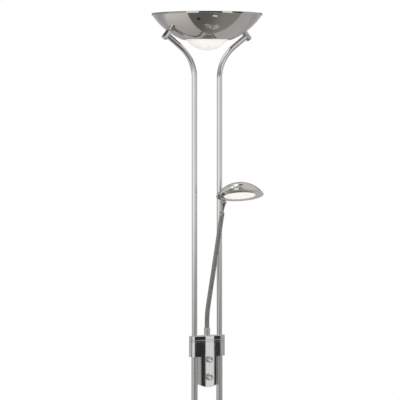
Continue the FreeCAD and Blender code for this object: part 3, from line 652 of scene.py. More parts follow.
def dressed(node: str, finish: Finish) -> None:
    """Gives a CAD node that keeps its own mesh a finish."""
    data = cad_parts[node].data
    data.materials.clear()
    data.materials.append(finish.material())


class NodeNet:
    """One Geometry Nodes tree with named inputs."""

    def __init__(self, name: str) -> None:
        """Starts an empty tree.

        Args:
            name: the tree's name.
        """
        self.tree = bpy.data.node_groups.new(name, "GeometryNodeTree")
        self.tree.interface.new_socket("Geometry", in_out="INPUT", socket_type="NodeSocketGeometry")
        self.tree.interface.new_socket("Geometry", in_out="OUTPUT", socket_type="NodeSocketGeometry")
        self.entry = self.tree.nodes.new("NodeGroupInput")
        self.leave = self.tree.nodes.new("NodeGroupOutput")
        self.identifiers: dict[str, str] = {}

    def size(self, name: str, default: float, kind: str = "NodeSocketFloat") -> NodeSocket:
        """Adds a named input and returns its socket inside the tree."""
        made = self.tree.interface.new_socket(name, in_out="INPUT", socket_type=kind)
        made.default_value = default
        self.identifiers[name] = made.identifier
        return self.entry.outputs[name]

    def add(self, kind: str, **inputs: Any) -> Node:
        """Adds a node.

        Args:
            kind: the node's type.
            inputs: values or sockets by input name, with underscores for spaces.

        Returns:
            The new node.
        """
        made = self.tree.nodes.new(kind)
        for name, value in inputs.items():
            self.feed(made.inputs[name.replace("_", " ")], value)
        return made

    def feed(self, socket: NodeSocket, value: Any) -> None:
        """Links a socket into an input, or sets the input's value."""
        if isinstance(value, NodeSocket):
            self.tree.links.new(value, socket)
        else:
            socket.default_value = value

    def sum(self, operation: str, first: Any, second: Any = 0.0) -> NodeSocket:
        """A Math node's result."""
        made = self.tree.nodes.new("ShaderNodeMath")
        made.operation = operation
        self.feed(made.inputs[0], first)
        self.feed(made.inputs[1], second)
        return made.outputs[0]

    def vector(self, x: Any = 0.0, y: Any = 0.0, z: Any = 0.0) -> NodeSocket:
        """Three numbers as a vector."""
        return self.add("ShaderNodeCombineXYZ", X=x, Y=y, Z=z).outputs[0]

    def end(self, geometry: NodeSocket, finish: Finish) -> None:
        """Ends the tree in real meshes with one material."""
        real = self.add("GeometryNodeRealizeInstances", Geometry=geometry).outputs[0]
        coat = self.add("GeometryNodeSetMaterial", Geometry=real, Material=finish.material())
        self.tree.links.new(coat.outputs[0], self.leave.inputs[0])

    def grow(self, name: str, start: Mesh, sharp: float = 40.0, **sizes: float) -> Object:
        """Runs the tree on a starting mesh.

        Args:
            name: the new object's name.
            start: the points or lines that the tree works from.
            sharp: edge angle that stays sharp, in degrees.
            sizes: values of the tree's named inputs.

        Returns:
            An object with the tree's result as its plain mesh.
        """
        made = shown(name, start)
        modifier = made.modifiers.new("nodes", "NODES")
        modifier.node_group = self.tree
        for label, value in sizes.items():
            modifier[self.identifiers[label.replace("_", " ")]] = value
        return baked(made, sharp)


def line_mesh(name: str, points: Sequence[Vector]) -> Mesh:
    """A mesh of one open line through points in millimetres."""
    data = bpy.data.meshes.new(name)
    data.from_pydata([p * MM for p in points], [(k, k + 1) for k in range(len(points) - 1)], [])
    return data


def point_mesh(name: str, points: Sequence[Vector]) -> Mesh:
    """A mesh of loose points in millimetres."""
    data = bpy.data.meshes.new(name)
    data.from_pydata([p * MM for p in points], [], [])
    return data


# ---------------------------------------------------------------- node trees
def ribbed_tube_tree(finish: Finish) -> NodeNet:
    """A tree that sweeps a tube with fine ribs along a line."""
    net = NodeNet("ribbed tube")
    radius = net.size("Radius", 0.006)
    depth = net.size("Depth", 0.0003)
    pitch = net.size("Pitch", 0.002)
    start = net.size("Start", 0.0)
    sides = net.size("Sides", 40, "NodeSocketInt")
    curve = net.add("GeometryNodeMeshToCurve", Mesh=net.entry.outputs["Geometry"]).outputs[0]
    along = net.add("GeometryNodeSplineParameter").outputs["Length"]
    turns = net.sum("DIVIDE", net.sum("ADD", along, start), pitch)
    wave = net.sum("COSINE", net.sum("MULTIPLY", turns, 2 * math.pi))
    valley = net.sum("POWER", net.sum("MULTIPLY", net.sum("ADD", wave, 1.0), 0.5), 1.6)
    # The groove measure thins the tube in its grooves and also places the painted groove shade of the
    # tube's finish.
    kept = net.tree.nodes.new("GeometryNodeStoreNamedAttribute")
    kept.data_type = "FLOAT"
    kept.domain = "POINT"
    net.feed(kept.inputs["Geometry"], curve)
    net.feed(kept.inputs["Name"], "groove")
    net.feed(kept.inputs["Value"], valley)
    named = net.tree.nodes.new("GeometryNodeInputNamedAttribute")
    named.data_type = "FLOAT"
    named.inputs["Name"].default_value = "groove"
    thickness = net.sum("SUBTRACT", radius, net.sum("MULTIPLY", named.outputs["Attribute"], depth))
    circle = net.add("GeometryNodeCurvePrimitiveCircle", Resolution=sides, Radius=1.0).outputs[0]
    tube = net.add("GeometryNodeCurveToMesh", Curve=kept.outputs[0], Profile_Curve=circle, Scale=thickness,
        Fill_Caps=True)
    net.end(tube.outputs[0], finish)
    return net


def screw_tree(finish: Finish) -> NodeNet:
    """A tree that puts a cross-slotted pan head on every point, facing +Y."""
    net = NodeNet("pan head screws")
    radius = net.size("Radius", 0.0027)
    height = net.size("Height", 0.0019)
    head = net.add("GeometryNodeMeshCylinder", Vertices=40, Side_Segments=1, Radius=radius, Depth=height)
    crown = net.add("GeometryNodeMeshUVSphere", Segments=40, Rings=20,
        Radius=net.sum("MULTIPLY", radius, 1.6))
    crown_at = net.add("GeometryNodeTransform", Geometry=crown.outputs[0],
        Translation=net.vector(z=net.sum("MULTIPLY", radius, -1.2)))
    rounded = net.add("GeometryNodeMeshBoolean")
    rounded.operation = "INTERSECT"
    rounded.solver = "EXACT"
    net.tree.links.new(head.outputs[0], rounded.inputs["Mesh 2"])
    net.tree.links.new(crown_at.outputs[0], rounded.inputs["Mesh 2"])
    cross = []
    for turn in (0.0, math.pi / 2):
        blade = net.add("GeometryNodeMeshCube", Size=net.vector(net.sum("MULTIPLY", radius, 1.15),
            net.sum("MULTIPLY", radius, 0.22), net.sum("MULTIPLY", height, 1.0)))
        moved = net.add("GeometryNodeTransform", Geometry=blade.outputs[0],
            Translation=net.vector(z=net.sum("MULTIPLY", height, 0.55)), Rotation=(0.0, 0.0, turn))
        cross.append(moved.outputs[0])
    slotted = net.add("GeometryNodeMeshBoolean")
    slotted.operation = "DIFFERENCE"
    slotted.solver = "EXACT"
    net.tree.links.new(rounded.outputs[0], slotted.inputs["Mesh 1"])
    for blade in cross:
        net.tree.links.new(blade, slotted.inputs["Mesh 2"])
    facing = net.add("GeometryNodeTransform", Geometry=slotted.outputs[0],
        Rotation=(-math.pi / 2, 0.0, 0.0))
    spread = net.add("GeometryNodeInstanceOnPoints", Points=net.entry.outputs["Geometry"],
        Instance=facing.outputs[0])
    net.end(spread.outputs[0], finish)
    return net


def coil_tree(finish: Finish) -> NodeNet:
    """A tree that winds a fine wire coil along +Z from the origin."""
    net = NodeNet("wire coil")
    radius = net.size("Radius", 0.0008)
    wire = net.size("Wire", 0.00012)
    length = net.size("Length", 0.06)
    turns = net.size("Turns", 60.0)
    spiral = net.add("GeometryNodeCurveSpiral", Resolution=12, Rotations=turns, Start_Radius=radius,
        End_Radius=radius, Height=length)
    circle = net.add("GeometryNodeCurvePrimitiveCircle", Resolution=6, Radius=wire)
    coil = net.add("GeometryNodeCurveToMesh", Curve=spiral.outputs[0], Profile_Curve=circle.outputs[0],
        Fill_Caps=True)
    net.end(coil.outputs[0], finish)
    return net


def flute_tree(finish: Finish) -> NodeNet:
    """A tree that stands small round-ended ribs in a ring around +Z."""
    net = NodeNet("grip ribs")
    ring = net.size("Ring", 0.008)
    count = net.size("Count", 36, "NodeSocketInt")
    radius = net.size("Radius", 0.0003)
    height = net.size("Height", 0.005)
    circle = net.add("GeometryNodeCurvePrimitiveCircle", Resolution=count, Radius=ring)
    rib = net.add("GeometryNodeMeshCylinder", Vertices=10, Side_Segments=1, Radius=radius, Depth=height)
    raised = net.add("GeometryNodeTransform", Geometry=rib.outputs[0],
        Translation=net.vector(z=net.sum("MULTIPLY", height, 0.5)))
    spread = net.add("GeometryNodeInstanceOnPoints", Points=circle.outputs[0], Instance=raised.outputs[0])
    net.end(spread.outputs[0], finish)
    return net


# ---------------------------------------------------------------- the stand
@dataclass
class Base:
    """Round base on the floor: felt pad, casting, spun cover, cord grommet and pole collars."""

    radius: float = 134.5
    pad_radius: float = 127.0
    pad_height: float = 2.5
    wall: float = 1.2
    lip_z: float = 2.0
    shoulder_z: float = 15.0
    corner: float = 5.0
    top_z: float = 26.0
    flat_radius: float = 60.0
    cord_z: float = 9.0
    cord_hole: float = 5.0
    cord_bore: float = 3.4
    pole_offset: float = 35.0

    def skin(self, inset: float) -> list[tuple[float, float]]:
        """The cover's line from the middle to the lip, drawn in by the wall."""
        shoulder = arc((self.radius - self.corner, self.shoulder_z), self.corner - inset, 78.0, 0.0, 14)
        blend_in = [(self.flat_radius + 3.0 * k, self.top_z - inset - 0.055 * k * k) for k in range(4)]
        return [(0.0, self.top_z - inset), (self.flat_radius - 8.0, self.top_z - inset), *blend_in,
            *shoulder, (self.radius - inset, self.lip_z + 0.5),
            (self.radius - inset - 0.15 * (1 if inset == 0 else -1), self.lip_z)]

    def cover(self) -> None:
        """The spun cover, with the hole for the cord at its rear."""
        outline = [*self.skin(self.wall), *reversed(self.skin(0.0))]
        shell = turned("base_cover_spun", outline, BASE_CHROME, segments=Round.BASE)
        drill = turned("cord_drill", [(0, -12), (self.cord_hole, -12), (self.cord_hole, 12), (0, 12)],
            CHROME, standing(Vector((0, self.radius, self.cord_z)), Vector((0, 1, 0))), Round.SMALL)
        fitted(carved(shell, [drill]), "stand", "base_cover")

    def pad(self) -> None:
        """The felt pad under the base."""
        outline = softened([(0, 0, 0), (self.pad_radius, 0, 0.8), (self.pad_radius, self.pad_height, 0.5),
            (0, self.pad_height, 0)])
        fitted(turned("base_felt_pad", outline, FELT, segments=Round.DISC), "stand", "base_pad")

    def grommet(self) -> None:
        """The rubber bush that the cord passes through."""
        neck = self.cord_hole - 0.1
        outline = softened([(self.cord_bore, -4.5, 0.8), (neck + 1.3, -4.5, 0.9), (neck + 1.3, -1.5, 0.2),
            (neck, -1.5, 0.1), (neck, 0.05, 0.1), (neck + 2.5, 0.05, 0.3), (neck + 2.5, 1.4, 0.8),
            (neck + 1.3, 2.6, 0.8), (self.cord_bore, 2.6, 0.8)])
        place = standing(Vector((0, self.radius, self.cord_z)), Vector((0, 1, 0)))
        fitted(turned("cord_bush", outline, RUBBER, place, Round.BUSH), "stand", "cord_grommet")

    def collars(self) -> None:
        """The turned collars around the feet of the poles, as one piece with both."""
        outline = softened([(8.05, 0, 0), (13.0, 0, 0.3), (13.0, 4.6, 1.6), (11.0, 7.0, 0.8),
            (8.05, 7.0, 0.3)], 6)
        parts = []
        for side in Side:
            place = Matrix.Translation(Vector((side.value * self.pole_offset, 0, self.top_z)))
            parts.append(turned(f"foot_collar_{side.name.lower()}", outline, CHROME, place, Round.POLE))
        fitted(joined("foot_collar_pair", parts), "stand", "foot_collars")

    def build(self) -> None:
        """Builds and dresses the whole base."""
        self.pad()
        self.cover()
        self.grommet()
        self.collars()
        dressed("base_weight", CASTING)
        for node in ("foot_spigots", "foot_nuts"):
            dressed(node, ZINC)


def joined(name: str, parts: Sequence[Object]) -> Object:
    """Joins separate pieces of one finish into one object."""
    work = bmesh.new()
    for part in parts:
        work.from_mesh(part.data)
    data = bpy.data.meshes.new(name)
    work.to_mesh(data)
    work.free()
    for material in parts[0].data.materials:
        data.materials.append(material)
    shaded(data)
    for part in parts:
        bpy.data.objects.remove(part)
    return shown(name, data)


BASE_CHROME = Spun("chrome_on_spun_base", "chrome", (0.79, 0.78, 0.77), 0.045, 0.002)


@dataclass
class Bowl:
    """Spun bowl with its opal glass, the barrels that carry it and the lamp inside."""

    sphere: float = 166.0
    centre_z: float = 1887.7
    wall: float = 1.2
    rim_radius: float = 140.0
    rim_z: float = 1800.0
    band_foot: float = 137.6
    flange_z: float = 1733.8
    flange_radius: float = 62.0
    opening: float = 53.5
    stud_circle: float = 60.0
    glass_sphere: float = 65.5
    glass_chord: float = 52.5
    glass_wall: float = 3.5
    glass_flange: float = 57.5
    glass_flange_height: float = 3.0
    barrel_radius: float = 8.0
    barrel_length: float = 27.5
    barrel_cap: float = 3.0
    seat_radius: float = 102.6
    lamp_z: float = 1758.4
    lamp_half: float = 61.5

    def line(self, radius: float, start: float, end: float, steps: int) -> list[tuple[float, float]]:
        """Points along a sphere's lower half between two distances from the axis."""
        turns = [math.asin(start / radius) + (math.asin(end / radius) - math.asin(start / radius))
            * k / steps for k in range(steps + 1)]
        return [(radius * math.sin(t), self.centre_z - radius * math.cos(t)) for t in turns]

    def seat(self, side: Side) -> tuple[Vector, Vector]:
        """Centre of a barrel's seat on the bowl, and the bowl's outward normal there."""
        depth = math.sqrt(self.sphere ** 2 - self.seat_radius ** 2)
        seat = Vector((side.value * self.seat_radius, 0, self.centre_z - depth))
        return seat, (seat - Vector((0, 0, self.centre_z))).normalized()

    def shell(self) -> None:
        """The bowl: polished outside, rim band with a soft lip, satin inside, turned-in flange."""
        low = self.flange_radius + 2.0
        top = self.flange_z + self.wall
        outside = self.line(self.sphere, low, self.band_foot, 56)
        inside = self.line(self.sphere - self.wall, low - 0.6, self.band_foot - 1.1, 56)
        r, z, ledge = self.rim_radius, self.rim_z, outside[-1][1] + 0.55
        lip = [(r - 0.5, ledge), (r - 0.15, ledge + 0.1), (r, ledge + 0.4), (r, ledge + 0.7), (r, z - 0.9),
            (r, z - 0.6), (r - 0.1, z - 0.25), (r - 0.4, z), (r - 1.1, z), (r - 1.4, z - 0.3),
            (r - 1.5, z - 0.8)]
        foot = softened([(self.opening, self.flange_z, 0.3), (self.flange_radius, self.flange_z, 0.9),
            (outside[0][0], outside[0][1], 0)])
        head = softened([(inside[0][0], inside[0][1], 0), (self.flange_radius - 0.6, top, 0.5),
            (self.opening, top, 0.3)])
        outline = [*foot[:-1], *outside, *lip, *reversed(inside), *head[1:]]
        # The outside takes the darker chrome that carries painted shade in its reflections.
        shell = turned("bowl_spun_shell", outline, SHADED_BOWL_CHROME, segments=Round.BOWL)
        shell.data.materials.append(BOWL_INSIDE.material())
        for face in shell.data.polygons:
            centre = face.center / MM
            away = (centre - Vector((0, 0, self.centre_z))).length
            inner = away < self.sphere - self.wall * 0.5 and face.normal.dot(
                Vector((centre.x, centre.y, 0))) < 0
            if inner or (face.normal.z > 0.7 and centre.z < self.rim_z - 5):
                face.material_index = 1
        fitted(shell, "stand", "bowl")
        stud = softened([(0, top - 0.3, 0), (1.5, top - 0.3, 0), (1.5, self.flange_z + 10, 0.4),
            (0, self.flange_z + 10, 0)])
        studs = []
        for k in range(4):
            angle = math.radians(45 + 90 * k)
            spot = Vector((self.stud_circle * math.cos(angle), self.stud_circle * math.sin(angle), 0))
            studs.append(turned(f"bowl_stud_{k}", stud, ZINC, Matrix.Translation(spot), Round.STUD))
        fitted(joined("bowl_studs", studs), "stand")

    def glass(self) -> None:
        """The opal dome that hangs through the bowl's opening."""
        rise = math.sqrt(self.glass_sphere ** 2 - self.glass_chord ** 2)
        centre_z = self.flange_z + rise
        inner = self.glass_sphere - self.glass_wall
        low = self.flange_z + self.wall + 0.1
        high = low + self.glass_flange_height
        inner_chord = math.sqrt(inner ** 2 - rise ** 2)
        span = math.degrees(math.asin(self.glass_chord / self.glass_sphere))
        inner_span = math.degrees(math.asin(inner_chord / inner))
        outside = arc((0, centre_z), self.glass_sphere, -90, -90 + span, 40)
        inside = arc((0, centre_z), inner, -90 + inner_span, -90, 36)
        flange = softened([(self.glass_chord, low, 0), (self.glass_flange, low, 0.6),
            (self.glass_flange, high, 0.9), (inner_chord, high, 0.9)])
        outline = [(0.0, outside[0][1]), *outside[1:], *flange, *inside[:-1], (0.0, inside[-1][1])]
        fitted(turned("glass_dome_opal", outline, OPAL_GLASS, segments=Round.DISC), "stand", "glass_dome")

    def barrels(self) -> None:
        """The barrels between bowl and poles, with a grooved end cap on each."""
        body = self.barrel_length - self.barrel_cap
        r = self.barrel_radius
        barrel = softened([(4.05, -0.5, 0), (r, -0.5, 0), (r, body, 0.35), (4.05, body, 0)])
        cap = softened([(0, 0, 0), (r - 0.5, 0, 0), (r, 0.5, 0.2), (r, 1.9, 0.8),
            (r - 1.4, self.barrel_cap - 0.25, 1.2), (0, self.barrel_cap, 0)], 6)
        caps = []
        for side in Side:
            seat, normal = self.seat(side)
            label = side.name.lower()
            piece = turned(f"barrel_{label}_turned", barrel, CHROME, standing(seat, normal), Round.POLE)
            fitted(piece, "stand", f"barrel_{label}")
            caps.append(turned(f"barrel_cap_{label}", cap, CHROME, standing(seat + normal * body, normal),
                96))
        fitted(joined("barrel_cap_pair", caps), "stand", "barrel_caps")

    def lamp(self) -> None:
        """The linear lamp: clear tube with pinched ends, ceramic ends and a coiled wire."""
        place = standing(Vector((0, 0, self.lamp_z)), Vector((1, 0, 0)))
        half = self.lamp_half
        tube = softened([(0, -50.5, 0), (2.6, -50.5, 1.0), (3.4, -48.0, 1.5), (5.0, -44.0, 2.0),
            (5.0, 44.0, 2.0), (3.4, 48.0, 1.5), (2.6, 50.5, 1.0), (0, 50.5, 0)])
        fitted(turned("linear_lamp_tube", tube, CLEAR_GLASS, place, Round.BUSH), "stand", "halogen_lamp")
        ends = []
        for side in Side:
            turn = standing(Vector((0, 0, self.lamp_z)), Vector((side.value, 0, 0)))
            end = softened([(0, 49.5, 0), (3.9, 49.5, 0.6), (4.2, 53.0, 0.4), (4.2, 59.0, 0.4),
                (3.4, half, 0.4), (0, half, 0)])
            ends.append(turned(f"lamp_end_{side.name.lower()}", end, CERAMIC, turn, Round.SMALL))
        fitted(joined("linear_lamp_ends", ends), "stand")
        coil = coil_tree(TUNGSTEN).grow("linear_lamp_coil", point_mesh("coil_seed", [Vector()]),
            Radius=0.0009, Wire=0.00016, Length=0.084, Turns=70.0)
        coil.data.transform(standing(Vector((-42, 0, self.lamp_z)) * MM, Vector((1, 0, 0))))
        fitted(coil, "stand")

    def build(self) -> None:
        """Builds and dresses the uplighter."""
        self.shell()
        self.glass()
        self.barrels()
        self.lamp()
        for node in ("bowl_nipples", "bowl_washers", "bowl_nuts", "lamp_bracket", "bracket_nuts",
                "glass_clips"):
            dressed(node, ZINC)
        dressed("lampholders", CERAMIC)
        dressed("safety_glass", CLEAR_GLASS)


@dataclass
class Poles:
    """The two poles, each of a lower, a middle and a bent upper length."""

    bowl: Bowl
    offset: float = 35.0
    lower_radius: float = 8.0
    lower_bore: float = 6.8
    upper_radius: float = 7.0
    upper_bore: float = 6.0
    foot_z: float = 26.0
    joint_z: float = 478.5
    lower_top_z: float = 945.0
    upper_foot_z: float = 949.0
    bend_radius: float = 100.0
    bend: float = 52.0
    barrel_to_pole: float = 15.0

    def route(self, side: Side) -> tuple[list[Vector], Vector]:
        """Points along an upper pole, and the point where it meets the barrel's axis."""
        turn = math.radians(self.bend)
        seat, normal = self.bowl.seat(side)
        meeting = seat + normal * self.barrel_to_pole
        out = self.offset + self.bend_radius * (1 - math.cos(turn))
        run = (abs(meeting.x) - out) / math.sin(turn)
        heading = Vector((side.value * math.sin(turn), 0, math.cos(turn)))
        end = meeting - heading * run
        start_z = end.z - self.bend_radius * math.sin(turn)
        x = side.value
        points = [Vector((x * self.offset, 0, self.upper_foot_z)), Vector((x * self.offset, 0, start_z))]
        for k in range(1, 41):
            a = turn * k / 40
            points.append(Vector((x * (self.offset + self.bend_radius * (1 - math.cos(a))), 0,
                start_z + self.bend_radius * math.sin(a))))
        return [*points, meeting], meeting

    def straight(self, name: str, node: str, side: Side, low: float, high: float) -> None:
        """A straight lower or middle length, with a small radius at both ends."""
        outline = softened([(self.lower_bore, low, 0.2), (self.lower_radius, low, 0.35),
            (self.lower_radius, high, 0.35), (self.lower_bore, high, 0.2)])
        place = Matrix.Translation(Vector((side.value * self.offset, 0, 0)))
        fitted(turned(name, outline, CHROME, place, Round.POLE), "stand", node)

    def build(self) -> None:
        """Builds all six lengths."""
        for side in Side:
            label = side.name.lower()
            self.straight(f"lower_pole_{label}_tube", f"lower_pole_{label}", side, self.foot_z,
                self.joint_z)
            self.straight(f"middle_pole_{label}_tube", f"middle_pole_{label}", side, self.joint_z,
                self.lower_top_z)
            points, _ = self.route(side)
            pole = piped(f"upper_pole_{label}_tube", points, self.upper_radius, self.upper_bore, CHROME,
                Round.BORE)
            seat, normal = self.bowl.seat(side)
            reach = self.bowl.barrel_radius + 0.02
            cope = turned("cope", [(0, -20), (reach, -20), (reach, 60), (0, 60)], CHROME,
                standing(seat, normal), Round.POLE)
            fitted(carved(pole, [cope]), "stand", f"upper_pole_{label}")
        for node in ("pole_couplers", "pole_reducers"):
            dressed(node, ZINC)


@dataclass
class Housing:
    """The oval dimmer housing around both poles, with its two knobs."""

    half_length: float = 49.5
    half_depth: float = 13.0
    end_radius: float = 7.0
    shell_top: float = 968.4
    ring_top: float = 973.5
    top: float = 984.0
    pole_offset: float = 35.0
    pole_radius: float = 7.05
    knob_radius: float = 8.25
    knob_back: float = -13.7
    knob_depth: float = 8.8
    knob_z: dict[str, float] = field(default_factory=lambda: {"upper": 924.0, "lower": 879.0})
    screw_y: float = 9.65
    screws: tuple[tuple[float, float], ...] = ((-17.5, 873.0), (17.5, 873.0), (-17.5, 955.0), (17.5, 955.0))

    def oval(self, inset: float, steps: int = 48) -> list[tuple[float, float]]:
        """Points (x, y) around the four-arc oval, drawn in by an inset."""
        a, b, end = self.half_length, self.half_depth, self.end_radius
        side_radius = (a * a + b * b - 2 * a * end) / (2 * (b - end))
        lean = math.degrees(math.atan2(side_radius - b, a - end))
        points: list[tuple[float, float]] = []
        for sign in (1, -1):
            tip = arc((sign * (a - end), 0), end - inset, 180 * (sign < 0) - lean, 180 * (sign < 0) + lean,
                20)
            points += tip[:-1]
            flat = arc((0, -sign * (side_radius - b)), side_radius - inset, 180 * (sign < 0) + lean,
                180 * (sign < 0) + 180 - lean, steps)
            points += flat[:-1]
        return points

    def plate(self, name: str, layers: Sequence[tuple[float, float]]) -> Object:
        """A solid oval plate.

        Args:
            name: the piece's name.
            layers: (inset, height) of each outline, from the bottom up.

        Returns:
            The plate, with holes for the poles.
        """
        work = bmesh.new()
        rings = [[work.verts.new(Vector((x, y, z)) * MM) for x, y in self.oval(inset)] for inset,
            z in layers]
        count = len(rings[0])
        for low, high in zip(rings, rings[1:]):
            for k in range(count):
                n = (k + 1) % count
                work.faces.new((low[k], low[n], high[n], high[k]))
        work.faces.new(list(reversed(rings[0])))
        work.faces.new(rings[-1])
        plate = finished(work, name, CHROME)
        drills = []
        for side in Side:
            place = Matrix.Translation(Vector((side.value * self.pole_offset, 0, 0)))
            drills.append(turned("pole_drill", [(0, 900), (self.pole_radius, 900), (self.pole_radius, 1000),
                (0, 1000)], CHROME, place, Round.BORE))
        return carved(plate, drills)

    def case(self) -> None:
        """The two moulded shells, the trim ring and the cap."""
        for half in ("front", "back"):
            piece = softened_copy(f"housing_{half}", f"housing_{half}_shell", MOULDED_CHROME, 0.8)
            fitted(piece, "stand", f"housing_{half}")
        edge = ((0.9, 0.0), (0.35, 0.15), (0.08, 0.45), (0.0, 0.8), (0.0, 1.05))
        crown = ((0.0, 1.5), (0.0, 1.25), (0.15, 0.75), (0.45, 0.35), (0.9, 0.1), (1.4, 0.0), (1.7, 0.0))
        for node, name, low, high, upper in (("housing_ring", "housing_trim_ring", self.shell_top,
                self.ring_top, edge[::-1]), ("housing_cap", "housing_end_cap", self.ring_top, self.top,
                crown)):
            layers = [(inset, low + rise) for inset, rise in edge]
            layers += [(inset, high - drop) for inset, drop in upper]
            fitted(self.plate(name, layers), "stand", node)

    def fasteners(self) -> None:
        """The four screws at the back."""
        spots = [Vector((x, self.screw_y + 1.0, z)) for x, z in self.screws]
        screws = screw_tree(ZINC).grow("housing_screw_heads", point_mesh("screw_spots", spots),
            Radius=0.0027, Height=0.0019)
        fitted(screws, "stand", "housing_screws")

    def knobs(self) -> None:
        """Two dished knobs with gripping ribs and an index line."""
        r, depth = self.knob_radius, self.knob_depth
        outline = softened([(3.02, 3.5, 0), (6.7, 3.5, 0.2), (6.7, 0, 0.2), (r - 0.25, 0, 0.3),
            (r - 0.25, 1.2, 0.2), (r - 0.45, 1.5, 0.1), (r - 0.45, 6.2, 0.1), (r - 0.25, 6.5, 0.2),
            (r - 0.3, 7.6, 0.8), (r - 1.3, depth, 0.9), (6.0, depth, 0.5), (4.0, depth - 1.6, 1.5),
            (0, depth - 1.9, 0), (0, 6.8, 0), (3.02, 6.8, 0)], 6)
        ribs = flute_tree(MOULDED_CHROME)
        for label, z in self.knob_z.items():
            place = standing(Vector((0, self.knob_back, z)), Vector((0, -1, 0)))
            knob = turned(f"knob_{label}_body", outline, MOULDED_CHROME, place, Round.POLE)
            fitted(knob, f"{label}_knob", f"knob_{label}")
            grip = ribs.grow(f"knob_{label}_ribs", point_mesh("rib_seed", [Vector()]), Ring=(r - 0.45) * MM,
                Count=44, Radius=0.00028, Height=0.0048)
            grip.data.transform(standing(Vector((0, self.knob_back - 1.45, z)) * MM, Vector((0, -1, 0))))
            fitted(grip, f"{label}_knob")
            mark = block(f"knob_{label}_index", (0.7, 0.5, 1.5), DARK_PLASTIC,
                Matrix.Translation(Vector((0, self.knob_back - depth + 0.24, z + 6.3))), 0.12)
            fitted(mark, f"{label}_knob")
            dressed(f"dimmer_shaft_{label}", ALLOY)

    def build(self) -> None:
        """Builds and dresses the housing."""
        self.case()
        self.fasteners()
        self.knobs()
        dressed("dimmer_board", BOARD)
        dressed("dimmer_pots", DARK_PLASTIC)
        dressed("dimmer_nuts", ZINC)


@dataclass
class FlexibleArm:
    """The bendy tube from the housing to the head's neck."""

    foot_z: float = 984.0
    ferrule_radius: float = 7.75
    ferrule_height: float = 20.0
    root: float = 14.0
    curve_radius: float = 275.0
    lean: float = 8.9
    end_z: float = 1289.0
    heading: Vector = field(default_factory=lambda: Vector((0.743, -0.669, 0.0)))
    links: int = 6
    radius: float = 6.1
    rib_depth: float = 0.32
    rib_pitch: float = 1.9
    steps_per_rib: int = 6
    hinge_gap: float = 1.1
    ball_radius: float = 5.75

    @property
    def start_z(self) -> float:
        """Height where the tube leaves the ferrule."""
        return self.foot_z + self.ferrule_height

    def at(self, distance: float) -> tuple[Vector, Vector]:
        """Point and direction of the tube's line at a distance from the ferrule, less than 0 inside it."""
        lean = math.radians(self.lean)
        curved = self.curve_radius * lean
        upright = min(distance, self.root)
        angle = min(max(distance - upright, 0.0) / self.curve_radius, lean)
        straight = max(distance - upright - curved, 0.0)
        out = self.curve_radius * (1 - math.cos(angle)) + straight * math.sin(lean)
        up = upright + self.curve_radius * math.sin(angle) + straight * math.cos(lean)
        ahead = self.heading * math.sin(angle) + UP * math.cos(angle)
        return self.heading * out + UP * (self.start_z + up), ahead.normalized()

    @property
    def length(self) -> float:
        """Length of the tube from the ferrule to the neck's collar."""
        lean = math.radians(self.lean)
        rise = self.root + self.curve_radius * math.sin(lean)
        return self.root + self.curve_radius * lean + (self.end_z - self.start_z - rise) / math.cos(lean)

    def body(self, number: int) -> str:
        """Name of the CAD body of a link; 0 is the fixed root."""
        if number == 0:
            return "stand"
        return "arm_tip" if number == self.links else f"arm_link_{number}"

    def tube(self) -> None:
        """The ribbed tube: one stiff length on every link, with a ball at each hinge between them."""
        tree = ribbed_tube_tree(TUBE_NICKEL)
        pitch = (self.length - self.root) / self.links
        hinges = [self.root + k * pitch for k in range(self.links)]
        lows = [-4.0, *[hinge + self.hinge_gap for hinge in hinges]]
        highs = [*[hinge - self.hinge_gap for hinge in hinges], self.length + 0.05]
        step = self.rib_pitch / self.steps_per_rib
        for number, (low, high) in enumerate(zip(lows, highs)):
            count = max(int(math.ceil((high - low) / step)), 2)
            spots = [self.at(low + (high - low) * k / count)[0] for k in range(count + 1)]
            piece = tree.grow(f"flexible_tube_{number}", line_mesh("arm_line", spots), 60.0,
                Radius=self.radius * MM, Depth=self.rib_depth * MM, Pitch=self.rib_pitch * MM,
                Start=(low + 20.0) * MM, Sides=40)
            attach(piece, self.body(number))
            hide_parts("arm_root" if number == 0 else f"arm_tube_{number}")
            log.info("%s, %d faces", piece.name, len(piece.data.polygons))
        for number, hinge in enumerate(hinges):
            ball = arc((0, 0), self.ball_radius, -90, 90, 24)
            spot, ahead = self.at(hinge)
            piece = turned(f"tube_ball_{number + 1}", [(abs(r), z) for r, z in ball], BALL_NICKEL,
                standing(spot, ahead), Round.SMALL)
            fitted(piece, self.body(number + 1))

    def ferrule(self) -> None:
        """The turned ferrule that holds the tube on the housing."""
        r, h = self.ferrule_radius, self.ferrule_height
        outline = softened([(2.5, -18, 0), (5.0, -18, 0.4), (5.0, 0, 0), (r, 0, 0.3), (r, 2.2, 0.2),
            (r - 0.35, 2.5, 0.1), (r - 0.35, 3.1, 0.1), (r, 3.4, 0.2), (r, h - 1.2, 0.8), (r - 0.9, h, 0.5),
            (6.15, h, 0.3), (5.85, h - 0.4, 0), (5.85, h - 8, 0), (2.5, h - 8, 0)], 6)
        fitted(turned("arm_ferrule_turned", outline, CHROME,
            Matrix.Translation(Vector((0, 0, self.foot_z))), Round.POLE), "stand", "arm_ferrule")

    def build(self) -> None:
        """Builds and dresses the arm."""
        self.ferrule()
        self.tube()
        dressed("arm_nut", ZINC)


